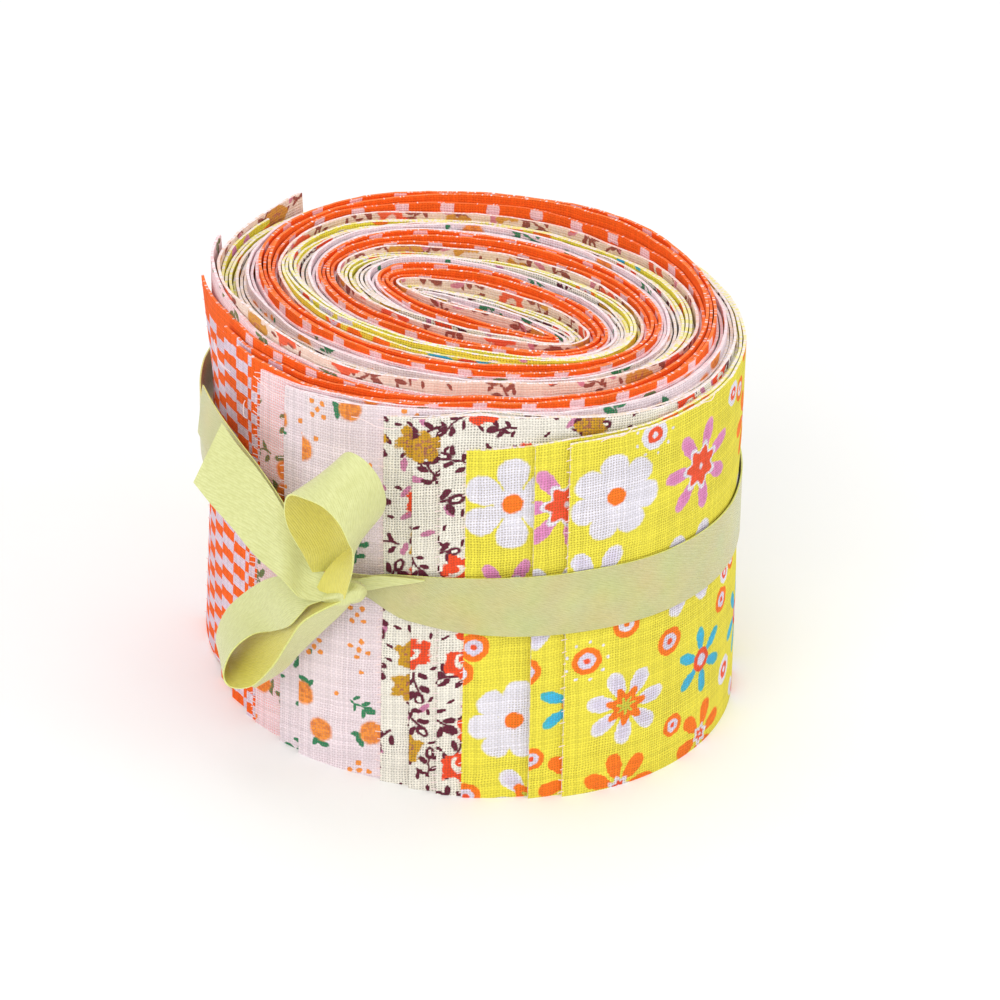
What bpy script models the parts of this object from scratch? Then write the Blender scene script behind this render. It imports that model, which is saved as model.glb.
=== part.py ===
"""Jelly roll: cotton fabric strips wound into an oval roll and tied with a satin ribbon bow.

The roll stands on the strips' cut edges, with the origin at the middle of its base and +Z up.
Sizes are in millimetres here and are turned into metres as each mesh is made. An angle round the
roll grows clockwise seen from above: 0 is the right side, 90 the front, 180 the left, 270 the back.
"""

import math
from collections import namedtuple

import bmesh
import bpy
import numpy as np
from mathutils import Matrix, Vector

MM = 0.001

# The roll: plan oval, its turn about Z and the line at its core
STRIP_WIDTH = 64.0
HALF_LENGTH = 45.4
HALF_DEPTH = 40.1
OVAL_TURN = -37.9
CORE_AT = (1.7, 4.0)
CORE_HALF_LENGTH = 12.5
MEAN_RADIUS = 43.0

# The winding: strips in the stack, and layers from the core out to the outline at two angles
STRIPS = 16
LAYERS_AT_FULLEST = 63.5
FULLEST_AT = 72.6
LAYERS_AT_THINNEST = 54.9
THINNEST_AT = 236.0

# The outer ends of the strips, each one layer's step inwards in the outline
STRIP_ENDS = (72.6, 80.0, 94.2, 99.5, 105.5, 112.0, 131.5, 137.4, 142.8)
END_STEP = 0.35
END_SHARPNESS = 0.2
END_CLEAR = 1.0

# Angle and how far the outline lies inside the oval, where the loose ends stand over it
Recess = namedtuple("Recess", "angle depth")
RECESS = (
    Recess(143.0, 3.15),
    Recess(147.0, 4.6),
    Recess(236.0, 4.6),
    Recess(241.0, 2.5),
    Recess(262.0, 0.0),
)

# Angle, how far the wall leans in at its top, and the height of its rim
Wall = namedtuple("Wall", "angle lean rim")
WALL = (
    Wall(0.0, 0.0, 64.6),
    Wall(72.0, 0.0, 64.6),
    Wall(95.0, 0.3, 65.0),
    Wall(112.0, 0.6, 66.0),
    Wall(142.0, 1.8, 65.2),
    Wall(150.0, 2.0, 66.4),
    Wall(200.0, 1.2, 66.8),
    Wall(236.0, 0.4, 66.4),
    Wall(262.0, 0.0, 64.8),
    Wall(360.0, 0.0, 64.6),
)

# The top from rim to core: share of the outline, height of the wound edges there, and how much
# higher they stand at the front, and lower at the back
TopHeight = namedtuple("TopHeight", "share height tilt")
TOP_PROFILE = (
    TopHeight(0.00, 61.9, 0.2),
    TopHeight(0.06, 62.2, 0.5),
    TopHeight(0.28, 64.0, 1.2),
    TopHeight(0.55, 66.2, 2.2),
    TopHeight(0.84, 67.8, 1.4),
    TopHeight(0.90, 67.0, 1.8),
)
RIDGE_HEIGHT = 0.8
RIDGE_STRIP = 10.5
RIDGE_FADE = 0.1
LEAST_RIM = 0.01
CORE_SHARE = 0.06
ROUND_STEPS = 96
TOP_ROWS = 28
ROLL_SHARP = 35.0

# Loose ends of three strips, all thin sheets
SHEET = 1.0
SHEET_SHARP = 50.0
FLAP_STEP = 3.0

# The ribbon
RIBBON_OFF_WALL = 0.9
KNOT_AT = (-20.8, -39.4, 36.8)
KNOT_HALF = (3.4, 1.9, 3.0)
KNOT_TURN = 28.0
KNOT_PINCH = 0.16
KNOT_PINCH_WIDTH = 0.25
CURVE_STEPS = 3
ACROSS_STEPS = 3


def column(table, name):
    """One named column of a table as numbers."""
    return [getattr(row, name) for row in table]


def read_off(table, by, name, at):
    """The value of a column where another column has the value at, on straight lines between rows."""
    return float(np.interp(at, column(table, by), column(table, name)))


def plan_point(share, angle):
    """Plan place on the oval that is this share of the outline, or past it above 1."""
    turn = math.radians(OVAL_TURN)
    along = -math.radians(angle) - turn
    half_length = CORE_HALF_LENGTH + (HALF_LENGTH - CORE_HALF_LENGTH) * share
    u = half_length * math.cos(along)
    v = HALF_DEPTH * share * math.sin(along)
    x = CORE_AT[0] * (1.0 - share) + u * math.cos(turn) - v * math.sin(turn)
    y = CORE_AT[1] * (1.0 - share) + u * math.sin(turn) + v * math.cos(turn)
    return x, y


def off_wall(angle, distance, z):
    """A place this far outside the plan oval, or inside it below 0."""
    x, y = plan_point(1.0 + distance / MEAN_RADIUS, angle)
    return Vector((x, y, z))


def outline_depth(angle):
    """How far the outline lies inside the oval at an angle."""
    if STRIP_ENDS[0] <= angle <= RECESS[0].angle:
        return END_STEP * sum(angle > end for end in STRIP_ENDS)
    if RECESS[0].angle < angle < RECESS[-1].angle:
        return read_off(RECESS, "angle", "depth", angle)
    return 0.0


def layers_to_outline(angle):
    """Layers between the core and the outline at an angle from 0 to 360."""
    angles = (THINNEST_AT - 360.0, FULLEST_AT, THINNEST_AT, FULLEST_AT + 360.0)
    layers = (LAYERS_AT_THINNEST, LAYERS_AT_FULLEST, LAYERS_AT_THINNEST, LAYERS_AT_FULLEST)
    return float(np.interp(angle, angles, layers))


def place_in_stack(share, angle):
    """Which strip of the stack, from 0 for the outermost, the winding shows here."""
    outermost = layers_to_outline(FULLEST_AT) + STRIPS * (angle - FULLEST_AT) / 360.0
    return (outermost - share * layers_to_outline(angle)) % STRIPS


def top_height(share, angle, rim_share):
    """Height of the wound edges: a low rim, a raised ring and a hollow towards the core."""
    rim = read_off(WALL, "angle", "rim", angle)
    shoulder = TOP_PROFILE[-1]
    frontness = math.sin(math.radians(angle))
    height = read_off(TOP_PROFILE, "share", "height", share)
    height += read_off(TOP_PROFILE, "share", "tilt", share) * frontness
    if share > shoulder.share:
        part = (share - shoulder.share) / max(rim_share - shoulder.share, LEAST_RIM)
        return height + (rim - height) * min(part, 1.0)
    fade = min((shoulder.share - share) / RIDGE_FADE, (share - CORE_SHARE) / RIDGE_FADE, 1.0)
    wave = math.cos(2.0 * math.pi * (place_in_stack(share, angle) - RIDGE_STRIP) / STRIPS)
    return height + RIDGE_HEIGHT * max(fade, 0.0) * wave


def round_angles():
    """Angles of the roll's columns, with a close pair at each strip's end."""
    pairs = [end + side * END_SHARPNESS for end in STRIP_ENDS for side in (-1.0, 1.0)]
    even = [360.0 * i / ROUND_STEPS for i in range(ROUND_STEPS)]
    kept = [a for a in even if all(abs(a - end) > END_CLEAR for end in STRIP_ENDS)]
    return sorted(kept + pairs)


def add_material(obj, name, colour, roughness):
    """Gives an object its own Principled material."""
    material = bpy.data.materials.new(name)
    material.use_nodes = True
    shader = material.node_tree.nodes["Principled BSDF"]
    shader.inputs["Base Color"].default_value = (*colour, 1.0)
    shader.inputs["Roughness"].default_value = roughness
    shader.inputs["Metallic"].default_value = 0.0
    obj.data.materials.append(material)


def add_object(name, bm, colour, roughness):
    """Turns a bmesh in millimetres into an object of the scene in metres."""
    bmesh.ops.scale(bm, vec=(MM, MM, MM), verts=bm.verts)
    bmesh.ops.recalc_face_normals(bm, faces=bm.faces)
    mesh = bpy.data.meshes.new(name)
    bm.to_mesh(mesh)
    bm.free()
    obj = bpy.data.objects.new(name, mesh)
    bpy.context.scene.collection.objects.link(obj)
    add_material(obj, name, colour, roughness)
    return obj


def join_rings(bm, outer, inner):
    """Faces between two closed rings of the same length."""
    count = len(outer)
    for i in range(count):
        j = (i + 1) % count
        bm.faces.new((outer[i], outer[j], inner[j], inner[i]))


def make_roll():
    """The wound roll: its stepped wall, its flat base and the spiral of edges on its top."""
    bm = bmesh.new()
    angles = round_angles()

    def wall_share(angle, lean_share):
        lean = read_off(WALL, "angle", "lean", angle) * lean_share
        return 1.0 - (outline_depth(angle) + lean) / MEAN_RADIUS

    def ring(z_of, share_of):
        verts = []
        for angle in angles:
            share = share_of(angle)
            x, y = plan_point(share, angle)
            verts.append(bm.verts.new((x, y, z_of(angle, share))))
        return verts

    base = ring(lambda angle, share: 0.0, lambda angle: wall_share(angle, 0.0))
    middle = ring(lambda angle, share: STRIP_WIDTH / 2.0, lambda angle: wall_share(angle, 0.5))
    join_rings(bm, base, middle)
    outer = middle
    for row in range(TOP_ROWS + 1):
        part = row / TOP_ROWS

        def share_of(angle, part=part):
            rim = wall_share(angle, 1.0)
            return rim + (CORE_SHARE - rim) * part

        def z_of(angle, share):
            return top_height(share, angle, wall_share(angle, 1.0))

        inner = ring(z_of, share_of)
        join_rings(bm, outer, inner)
        outer = inner
    core = bm.verts.new((*CORE_AT, TOP_PROFILE[0].height))
    foot = bm.verts.new((0.0, 0.0, 0.0))
    for i in range(len(angles)):
        j = (i + 1) % len(angles)
        bm.faces.new((outer[i], outer[j], core))
        bm.faces.new((base[j], base[i], foot))
    roll = add_object("roll", bm, (0.86, 0.62, 0.30), 0.9)
    roll.data.shade_smooth()
    roll.data.set_sharp_from_angle(angle=math.radians(ROLL_SHARP))
    return roll


def make_sheet(name, grid, thickness, colour, roughness):
    """A closed sheet of even thickness about a grid of places on its middle surface."""
    rows, columns = len(grid), len(grid[0])
    bm = bmesh.new()
    front, back = [], []
    for i in range(rows):
        front_row, back_row = [], []
        for j in range(columns):
            along = grid[min(i + 1, rows - 1)][j] - grid[max(i - 1, 0)][j]
            across = grid[i][min(j + 1, columns - 1)] - grid[i][max(j - 1, 0)]
            normal = along.cross(across).normalized()
            front_row.append(bm.verts.new(grid[i][j] + normal * thickness / 2.0))
            back_row.append(bm.verts.new(grid[i][j] - normal * thickness / 2.0))
        front.append(front_row)
        back.append(back_row)
    for i in range(rows - 1):
        for j in range(columns - 1):
            bm.faces.new((front[i][j], front[i + 1][j], front[i + 1][j + 1], front[i][j + 1]))
            bm.faces.new((back[i][j], back[i][j + 1], back[i + 1][j + 1], back[i + 1][j]))
    for i in range(rows - 1):
        bm.faces.new((front[i][0], back[i][0], back[i + 1][0], front[i + 1][0]))
        bm.faces.new((front[i][-1], front[i + 1][-1], back[i + 1][-1], back[i][-1]))
    for j in range(columns - 1):
        bm.faces.new((front[0][j], front[0][j + 1], back[0][j + 1], back[0][j]))
        bm.faces.new((front[-1][j], back[-1][j], back[-1][j + 1], front[-1][j + 1]))
    sheet = add_object(name, bm, colour, roughness)
    sheet.data.shade_smooth()
    sheet.data.set_sharp_from_angle(angle=math.radians(SHEET_SHARP))
    return sheet


# A loose end: angle, how far off the oval it stands at the floor, under the ribbon and at its top,
# and the height of its top edge
LooseEnd = namedtuple("LooseEnd", "angle foot waist top height")

FLAP_CHECK = (
    LooseEnd(149.0, -3.6, -3.6, -3.6, 62.5),
    LooseEnd(154.0, -2.2, -2.2, -2.4, 62.8),
    LooseEnd(161.0, -0.8, -0.8, -1.2, 63.0),
    LooseEnd(175.0, -0.4, -0.8, -0.2, 63.6),
    LooseEnd(191.0, 0.4, -0.8, 1.2, 65.0),
)
FLAP_SPRIG = (
    LooseEnd(164.0, -3.6, -3.6, -3.6, 64.0),
    LooseEnd(172.0, -2.2, -2.2, -2.2, 64.5),
    LooseEnd(191.0, -1.5, -2.2, -0.6, 65.5),
    LooseEnd(204.0, -1.0, -2.2, 0.8, 67.0),
)
FLAP_CREAM = (
    LooseEnd(176.0, -3.7, -3.7, -3.7, 65.0),
    LooseEnd(195.0, -3.6, -3.6, -2.6, 66.5),
    LooseEnd(207.0, -2.8, -3.6, -1.2, 67.3),
    LooseEnd(222.0, -1.6, -2.4, 0.6, 67.8),
    LooseEnd(234.0, -0.8, -1.8, 1.2, 67.5),
)
FLAP_ROWS = (0.0, 0.18, 0.36, 0.5, 0.65, 0.8, 0.87, 0.94, 1.0)
WAIST_LOW, WAIST_HIGH = 0.36, 0.8


def make_flap(name, table, colour):
    """The loose end of a strip: held in under the ribbon and free above and below it."""
    first, last = table[0].angle, table[-1].angle
    count = round((last - first) / FLAP_STEP)
    grid = []
    for i in range(count + 1):
        angle = first + (last - first) * i / count
        foot, waist, top, height = (
            read_off(table, "angle", name_, angle) for name_ in ("foot", "waist", "top", "height")
        )
        across = (0.0, WAIST_LOW, WAIST_HIGH, 1.0)
        grid.append([
            off_wall(angle, float(np.interp(row, across, (foot, waist, waist, top))), row * height)
            for row in FLAP_ROWS
        ])
    return make_sheet(name, grid, SHEET, colour, 0.9)


# The ribbon round the roll: angle from the knot's left side on, height of its middle, its half
# width, and how far its middle surface stands off the oval
Band = namedtuple("Band", "angle height half_width off")
BAND = (
    Band(127.5, 37.4, 2.2, -0.9),
    Band(132.0, 38.6, 4.0, -0.6),
    Band(138.0, 40.2, 5.2, -0.2),
    Band(160.0, 43.5, 5.5, 0.6),
    Band(191.0, 44.5, 5.5, 0.6),
    Band(235.0, 42.5, 5.5, 0.6),
    Band(300.0, 38.0, 5.5, RIBBON_OFF_WALL),
    Band(380.0, 35.4, 5.5, RIBBON_OFF_WALL),
    Band(427.0, 36.5, 5.6, RIBBON_OFF_WALL),
    Band(444.0, 36.4, 5.4, RIBBON_OFF_WALL),
    Band(455.0, 36.2, 4.9, 0.2),
    Band(463.0, 36.2, 4.0, -0.2),
    Band(469.0, 36.5, 2.8, -0.5),
    Band(473.0, 36.8, 1.8, -0.6),
)
BAND_STEP = 4.0


def make_band():
    """The ribbon's turn round the roll, from one side of the knot to the other."""
    first, last = BAND[0].angle, BAND[-1].angle
    count = round((last - first) / BAND_STEP)
    grid = []
    for i in range(count + 1):
        angle = first + (last - first) * i / count
        height, half, off = (
            read_off(BAND, "angle", name, angle) for name in ("height", "half_width", "off")
        )
        edges = [height + half * (2.0 * j / ACROSS_STEPS - 1.0) for j in range(ACROSS_STEPS + 1)]
        grid.append([off_wall(angle, off, z) for z in edges])
    return make_sheet("ribbon_band", grid, SHEET, (0.80, 0.82, 0.35), 0.5)


# A section across the ribbon of the bow: the edge by the roll and the edge away from it
Section = namedtuple("Section", "x1 y1 z1 x2 y2 z2")

LOOP_UPPER = (
    Section(-22.3, -37.7, 41.4, -24.3, -40.4, 41.6),
    Section(-22.4, -38.0, 45.0, -25.8, -44.4, 47.0),
    Section(-22.6, -38.2, 51.0, -27.8, -45.6, 52.0),
    Section(-23.4, -38.4, 56.2, -28.4, -46.4, 56.0),
    Section(-22.6, -39.6, 61.0, -27.6, -48.2, 59.6),
    Section(-19.4, -43.0, 64.4, -25.0, -51.2, 60.8),
    Section(-16.0, -45.4, 64.2, -22.2, -53.6, 60.8),
    Section(-13.6, -46.6, 61.2, -19.8, -54.6, 58.6),
    Section(-13.0, -46.0, 56.2, -18.4, -53.8, 54.8),
    Section(-15.0, -44.0, 49.4, -18.0, -50.6, 49.4),
    Section(-17.4, -41.6, 43.4, -19.2, -45.4, 44.0),
    Section(-18.2, -39.6, 41.0, -20.6, -42.6, 41.4),
)
LOOP_LOWER = (
    Section(-25.8, -37.4, 37.4, -25.6, -40.4, 36.0),
    Section(-28.2, -35.2, 36.8, -26.4, -41.4, 34.6),
    Section(-31.4, -32.2, 34.2, -27.6, -40.4, 31.4),
    Section(-35.4, -28.4, 29.4, -30.4, -37.0, 27.8),
    Section(-38.4, -26.0, 24.6, -34.0, -34.8, 25.6),
    Section(-40.0, -25.0, 19.8, -37.2, -34.4, 22.2),
    Section(-39.8, -25.0, 16.0, -38.6, -34.6, 18.0),
    Section(-37.6, -26.2, 14.2, -37.2, -36.0, 14.9),
    Section(-34.8, -28.0, 15.4, -34.4, -37.4, 15.6),
    Section(-31.8, -30.6, 19.6, -31.0, -39.4, 19.6),
    Section(-28.6, -33.0, 24.6, -28.0, -41.0, 25.0),
    Section(-25.4, -35.8, 29.4, -24.6, -41.4, 29.6),
    Section(-23.0, -37.8, 32.4, -22.2, -41.4, 32.9),
)
TAIL_FRONT = (
    Section(-24.9, -38.6, 41.0, -26.0, -41.6, 38.2),
    Section(-27.2, -35.9, 45.8, -28.6, -42.4, 40.2),
    Section(-30.2, -33.2, 50.4, -33.2, -38.6, 42.4),
    Section(-33.4, -29.8, 53.4, -37.0, -34.8, 45.2),
    Section(-36.4, -26.4, 55.4, -40.4, -31.6, 47.4),
    Section(-39.2, -22.8, 57.2, -43.6, -28.6, 49.8),
)
TAIL_BACK = (
    Section(-26.8, -35.2, 45.6, -28.1, -35.6, 42.8),
    Section(-29.2, -32.6, 49.0, -30.8, -33.2, 44.0),
    Section(-33.0, -28.2, 52.6, -34.8, -28.6, 47.0),
    Section(-37.0, -23.0, 55.2, -38.3, -23.4, 50.6),
    Section(-40.4, -16.6, 56.6, -41.2, -17.0, 51.0),
    Section(-42.6, -10.4, 57.0, -43.2, -10.8, 51.0),
)


def smooth_rows(table, steps):
    """Sections read from a smooth curve through the table's rows."""
    rows = [np.array(row) for row in table]
    padded = [2.0 * rows[0] - rows[1], *rows, 2.0 * rows[-1] - rows[-2]]
    out = []
    for i in range(1, len(padded) - 2):
        before, start, end, after = padded[i - 1:i + 3]
        for step in range(steps):
            t = step / steps
            out.append(0.5 * (2.0 * start + (end - before) * t
                              + (2.0 * before - 5.0 * start + 4.0 * end - after) * t ** 2
                              + (3.0 * start - before - 3.0 * end + after) * t ** 3))
    out.append(rows[-1])
    return out


def make_bow_piece(name, table):
    """A length of ribbon through its sections."""
    grid = []
    for row in smooth_rows(table, CURVE_STEPS):
        inner, outer = Vector(row[:3]), Vector(row[3:])
        grid.append([inner.lerp(outer, j / ACROSS_STEPS) for j in range(ACROSS_STEPS + 1)])
    return make_sheet(name, grid, SHEET, (0.80, 0.82, 0.35), 0.5)


def make_knot():
    """The knot: a small flattened lump with the ribbon's fold across its middle."""
    bm = bmesh.new()
    bmesh.ops.create_uvsphere(bm, u_segments=20, v_segments=12, radius=1.0)
    for vert in bm.verts:
        vert.co.z *= 1.0 - KNOT_PINCH * math.exp(-(vert.co.x / KNOT_PINCH_WIDTH) ** 2)
    bmesh.ops.scale(bm, vec=KNOT_HALF, verts=bm.verts)
    turned = Matrix.Rotation(-math.radians(KNOT_TURN), 3, "Z")
    bmesh.ops.rotate(bm, verts=bm.verts, cent=(0.0, 0.0, 0.0), matrix=turned)
    bmesh.ops.translate(bm, vec=KNOT_AT, verts=bm.verts)
    knot = add_object("ribbon_knot", bm, (0.76, 0.76, 0.30), 0.5)
    knot.data.shade_smooth()
    return knot


def clear_scene():
    """Removes whatever the scene holds."""
    for obj in list(bpy.data.objects):
        bpy.data.objects.remove(obj, do_unlink=True)


clear_scene()
make_roll()
make_flap("flap_check", FLAP_CHECK, (0.95, 0.18, 0.02))
make_flap("flap_sprig", FLAP_SPRIG, (0.88, 0.80, 0.82))
make_flap("flap_cream", FLAP_CREAM, (0.86, 0.78, 0.66))
make_band()
make_knot()
make_bow_piece("ribbon_loop_upper", LOOP_UPPER)
make_bow_piece("ribbon_loop_lower", LOOP_LOWER)
make_bow_piece("ribbon_tail_front", TAIL_FRONT)
make_bow_piece("ribbon_tail_back", TAIL_BACK)
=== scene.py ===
"""Looks of a roll of printed cotton strips tied with a satin ribbon bow.

Sixteen strips of four prints are wound together round a flat core and stand on their cut edges.
Lengths in the tables are millimetres, and meshes are in metres. An angle round the roll grows
clockwise seen from above: 0 is the right side, 90 the front, 180 the left and 270 the back. Below
0 it counts the turns further in.
"""
import math
from collections import namedtuple

import bmesh
import bpy
import numpy as np
from bpy.props import FloatProperty, FloatVectorProperty, PointerProperty
from mathutils import Matrix, Vector


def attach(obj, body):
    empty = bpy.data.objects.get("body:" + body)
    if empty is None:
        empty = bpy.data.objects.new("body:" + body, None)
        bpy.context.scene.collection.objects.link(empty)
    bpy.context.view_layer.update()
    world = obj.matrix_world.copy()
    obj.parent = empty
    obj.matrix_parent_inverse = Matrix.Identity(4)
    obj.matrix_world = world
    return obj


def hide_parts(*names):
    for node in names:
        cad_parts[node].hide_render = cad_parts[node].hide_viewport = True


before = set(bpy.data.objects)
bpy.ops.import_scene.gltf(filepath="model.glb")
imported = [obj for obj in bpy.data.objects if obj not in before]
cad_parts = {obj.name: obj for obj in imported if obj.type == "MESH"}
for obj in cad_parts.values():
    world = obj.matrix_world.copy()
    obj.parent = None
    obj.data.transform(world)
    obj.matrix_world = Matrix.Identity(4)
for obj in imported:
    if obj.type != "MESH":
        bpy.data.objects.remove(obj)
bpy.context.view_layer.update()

bl_info = {
    "name": "Fabric Strip Roll",
    "version": (1, 0, 0),
    "blender": (4, 5, 0),
    "location": "View3D > Sidebar > Fabric Roll",
    "description": "Builds the printed cotton strips, the ribbon bow and the stage of a fabric roll",
    "category": "Object",
}

MM = 0.001

# The roll: plan oval, its turn about Z and the line at its core
STRIP_HEIGHT = 64.0
HALF_LENGTH = 45.4
HALF_DEPTH = 40.1
OVAL_TURN = math.radians(-37.9)
CORE_AT = (1.7, 4.0)
CORE_HALF_LENGTH = 12.5
MEAN_RADIUS = 43.0

# The winding: layers from the core to the outline, and where the strips start inside
LAYERS_AT_FULLEST = 63.5
FULLEST_AT = 72.6
LAYERS_AT_THINNEST = 54.9
THINNEST_AT = 236.0
INNERMOST_LAYER = 0.4
COLUMN_MM = 1.5
LARGEST_STEP = 5.0

# The strips from the outermost in: print, angle of the outer end, and where the print starts
Strip = namedtuple("Strip", "name group cotton end along across")
STRIPS = (
    Strip("strip_daisy_1", "Y", "daisy", 72.6, 250.0, 133.0),
    Strip("strip_daisy_2", "Y", "daisy", 80.0, 270.0, 133.0),
    Strip("strip_daisy_3", "Y", "daisy", 94.2, 177.0, 133.0),
    Strip("strip_sprig_1", "C", "sprig", 99.5, 0.0, 0.0),
    Strip("strip_sprig_2", "C", "sprig", 105.5, 331.0, 63.0),
    Strip("strip_sprig_3", "C", "sprig", 112.0, 518.0, 129.0),
    Strip("strip_fruit_1", "P", "fruit", 131.5, 0.0, 0.0),
    Strip("strip_fruit_2", "P", "fruit", 137.4, 443.0, 71.0),
    Strip("strip_fruit_3", "P", "fruit_pink", 146.0, 129.0, 205.0),
    Strip("strip_check_1", "O", "check", 149.5, 3.1, 0.0),
    Strip("strip_check_2", "O", "check", 157.0, 1.2, -4.0),
    Strip("strip_check_3", "O", "check", 165.0, 0.4, -4.0),
    Strip("strip_check_4", "O4", "check", 191.0, -2.6, 0.0),
    Strip("strip_fruit_4", "P4", "fruit_pink", 204.0, 268.0, 97.0),
    Strip("strip_sprig_4", "C4", "sprig_peach", 234.0, 171.0, 222.0),
    Strip("strip_daisy_4", "Y4", "daisy", 222.0, 337.0, 143.0),
)
CLUSTER = {"Y": 0.5, "C": 4.0, "P": 7.0, "O": 10.5, "O4": 10.5, "P4": 13.0, "C4": 14.0, "Y4": 15.4}
CLUSTER_PULL = 0.14

# Height of the top edges in the outermost turn, by group of strips
OuterTop = namedtuple("OuterTop", "angle Y C P O O4 P4 C4 Y4")
OUTER_TOPS = (
    OuterTop(-90.0, 63.2, 63.6, 64.2, 67.0, 66.6, 64.5, 64.7, 63.9),
    OuterTop(-45.0, 63.7, 64.2, 65.2, 69.2, 67.6, 65.4, 65.6, 64.6),
    OuterTop(0.0, 64.6, 65.4, 66.8, 69.6, 68.6, 67.0, 68.0, 66.0),
    OuterTop(45.0, 65.6, 66.6, 68.0, 69.3, 69.2, 68.6, 70.0, 67.4),
    OuterTop(72.0, 65.3, 68.4, 68.6, 69.6, 69.4, 69.2, 71.0, 68.0),
    OuterTop(92.0, 64.5, 69.9, 69.2, 69.9, 69.9, 69.4, 71.4, 68.0),
    OuterTop(114.0, 64.5, 67.3, 68.0, 68.0, 68.8, 69.0, 70.4, 68.0),
    OuterTop(134.0, 64.5, 66.8, 66.2, 66.7, 68.0, 68.4, 69.4, 67.6),
    OuterTop(160.0, 64.5, 66.0, 64.6, 65.8, 67.9, 69.0, 70.6, 67.2),
    OuterTop(191.0, 64.5, 66.0, 64.0, 65.8, 65.6, 69.0, 67.6, 66.0),
    OuterTop(206.0, 64.5, 66.0, 64.0, 65.8, 65.6, 68.0, 66.4, 65.8),
    OuterTop(234.0, 64.5, 66.0, 64.0, 65.8, 65.6, 68.0, 66.2, 65.6),
)
# Further in: share of the outline, height of the check strips there and how much higher in front
InnerTop = namedtuple("InnerTop", "share height tilt")
INNER_TOPS = (
    InnerTop(0.0, 62.6, 0.2),
    InnerTop(0.06, 62.9, 0.5),
    InnerTop(0.28, 64.8, 1.2),
    InnerTop(0.55, 66.9, 2.4),
    InnerTop(0.84, 68.3, 1.5),
)
# How far each group stands above that, by share of the outline, at the right, front, left and rear
Stand = namedtuple("Stand", "group share right front left rear")
STANDS = (
    Stand("Y", 0.25, -1.2, -1.4, -1.0, -1.6),
    Stand("Y", 0.60, 0.2, 1.0, 0.9, -1.6),
    Stand("Y", 0.90, -1.4, -1.6, -3.4, -2.6),
    Stand("C", 0.25, -0.8, 0.6, -0.6, -0.8),
    Stand("C", 0.60, -0.9, -0.9, -1.4, -1.2),
    Stand("C", 0.90, -1.4, -1.6, -3.4, -2.2),
    Stand("P", 0.25, -0.6, -0.8, -0.8, -0.2),
    Stand("P", 0.60, -0.5, -0.9, -1.0, 0.2),
    Stand("P", 0.90, -0.4, -1.0, -2.0, -0.2),
    Stand("O", 0.25, 0.0, 0.0, 0.0, 0.0),
    Stand("O4", 0.25, -0.3, -0.6, -0.2, -0.2),
    Stand("P4", 0.25, -1.4, -1.2, -1.4, -1.7),
    Stand("C4", 0.25, -0.4, 1.2, 0.6, -0.8),
    Stand("C4", 0.60, -0.8, -1.2, -0.6, -0.8),
    Stand("C4", 0.90, -0.8, 1.4, 0.4, -1.4),
    Stand("Y4", 0.25, -1.6, -0.6, 0.2, -1.6),
    Stand("Y4", 0.60, -1.2, 0.2, 0.9, -1.8),
    Stand("Y4", 0.90, -1.8, -0.8, -2.4, -2.4),
)
INNER_FROM, INNER_TO = -75.0, -150.0

# Rows up a strip, as shares of its height
ROWS = (0.0, 0.04, 0.14, 0.28, 0.4, 0.48, 0.56, 0.64, 0.74, 0.84, 0.91, 0.955, 0.985, 1.0)

# How far the wall leans in at its top
Lean = namedtuple("Lean", "angle depth")
LEANS = (
    Lean(0.0, 0.0),
    Lean(72.0, 0.0),
    Lean(95.0, 0.4),
    Lean(112.0, 0.6),
    Lean(142.0, 1.6),
    Lean(160.0, 1.6),
    Lean(191.0, 0.6),
    Lean(236.0, 0.0),
    Lean(360.0, 0.0),
)

# Loose ends: how far the foot, the waist under the ribbon and the top stand off at the end
Loose = namedtuple("Loose", "start foot waist top")
LOOSE = {
    "strip_check_1": Loose(138.0, 0.2, 0.0, 0.3),
    "strip_check_2": Loose(143.0, 0.2, 0.0, 0.4),
    "strip_check_3": Loose(148.0, 0.2, 0.0, 0.5),
    "strip_check_4": Loose(165.0, 0.9, -0.3, 1.7),
    "strip_fruit_4": Loose(178.0, 0.5, -0.3, 1.3),
    "strip_daisy_4": Loose(200.0, 0.0, 0.0, 0.2),
    "strip_sprig_4": Loose(205.0, 0.2, -1.0, 0.9),
}
# Frayed ends: how far apart the threads are and how long, and the strays over the strips
Fray = namedtuple("Fray", "spacing length")
FRAYS = {
    "strip_daisy_1": Fray(2.2, 0.8),
    "strip_daisy_3": Fray(1.9, 0.7),
    "strip_sprig_1": Fray(1.4, 0.8),
    "strip_sprig_3": Fray(1.4, 0.9),
    "strip_fruit_2": Fray(1.4, 1.0),
    "strip_fruit_3": Fray(0.94, 1.7),
    "strip_check_4": Fray(2.6, 0.6),
}
Stray = namedtuple("Stray", "angle_1 off_1 z_1 angle_2 off_2 z_2 bow")
STRAYS = (
    Stray(144.0, 0.5, 66.0, 133.0, 0.7, 66.0, 0.9),
    Stray(160.0, 0.9, 66.4, 152.0, 0.9, 63.6, 0.8),
    Stray(146.5, 0.8, 60.8, 146.0, 0.9, 57.6, 0.5),
    Stray(118.0, 0.5, 66.8, 108.0, 0.5, 66.6, 0.6),
    Stray(66.0, 0.4, 65.0, 58.0, 0.5, 66.4, 0.5),
    Stray(40.0, 0.5, 65.4, 33.0, 0.6, 65.9, 0.6),
)
THREAD_RADIUS = 0.07
THREAD_SIDES = 5
PINCH_HEIGHT = 9.0
PINCH_DEPTH = 0.6

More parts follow.
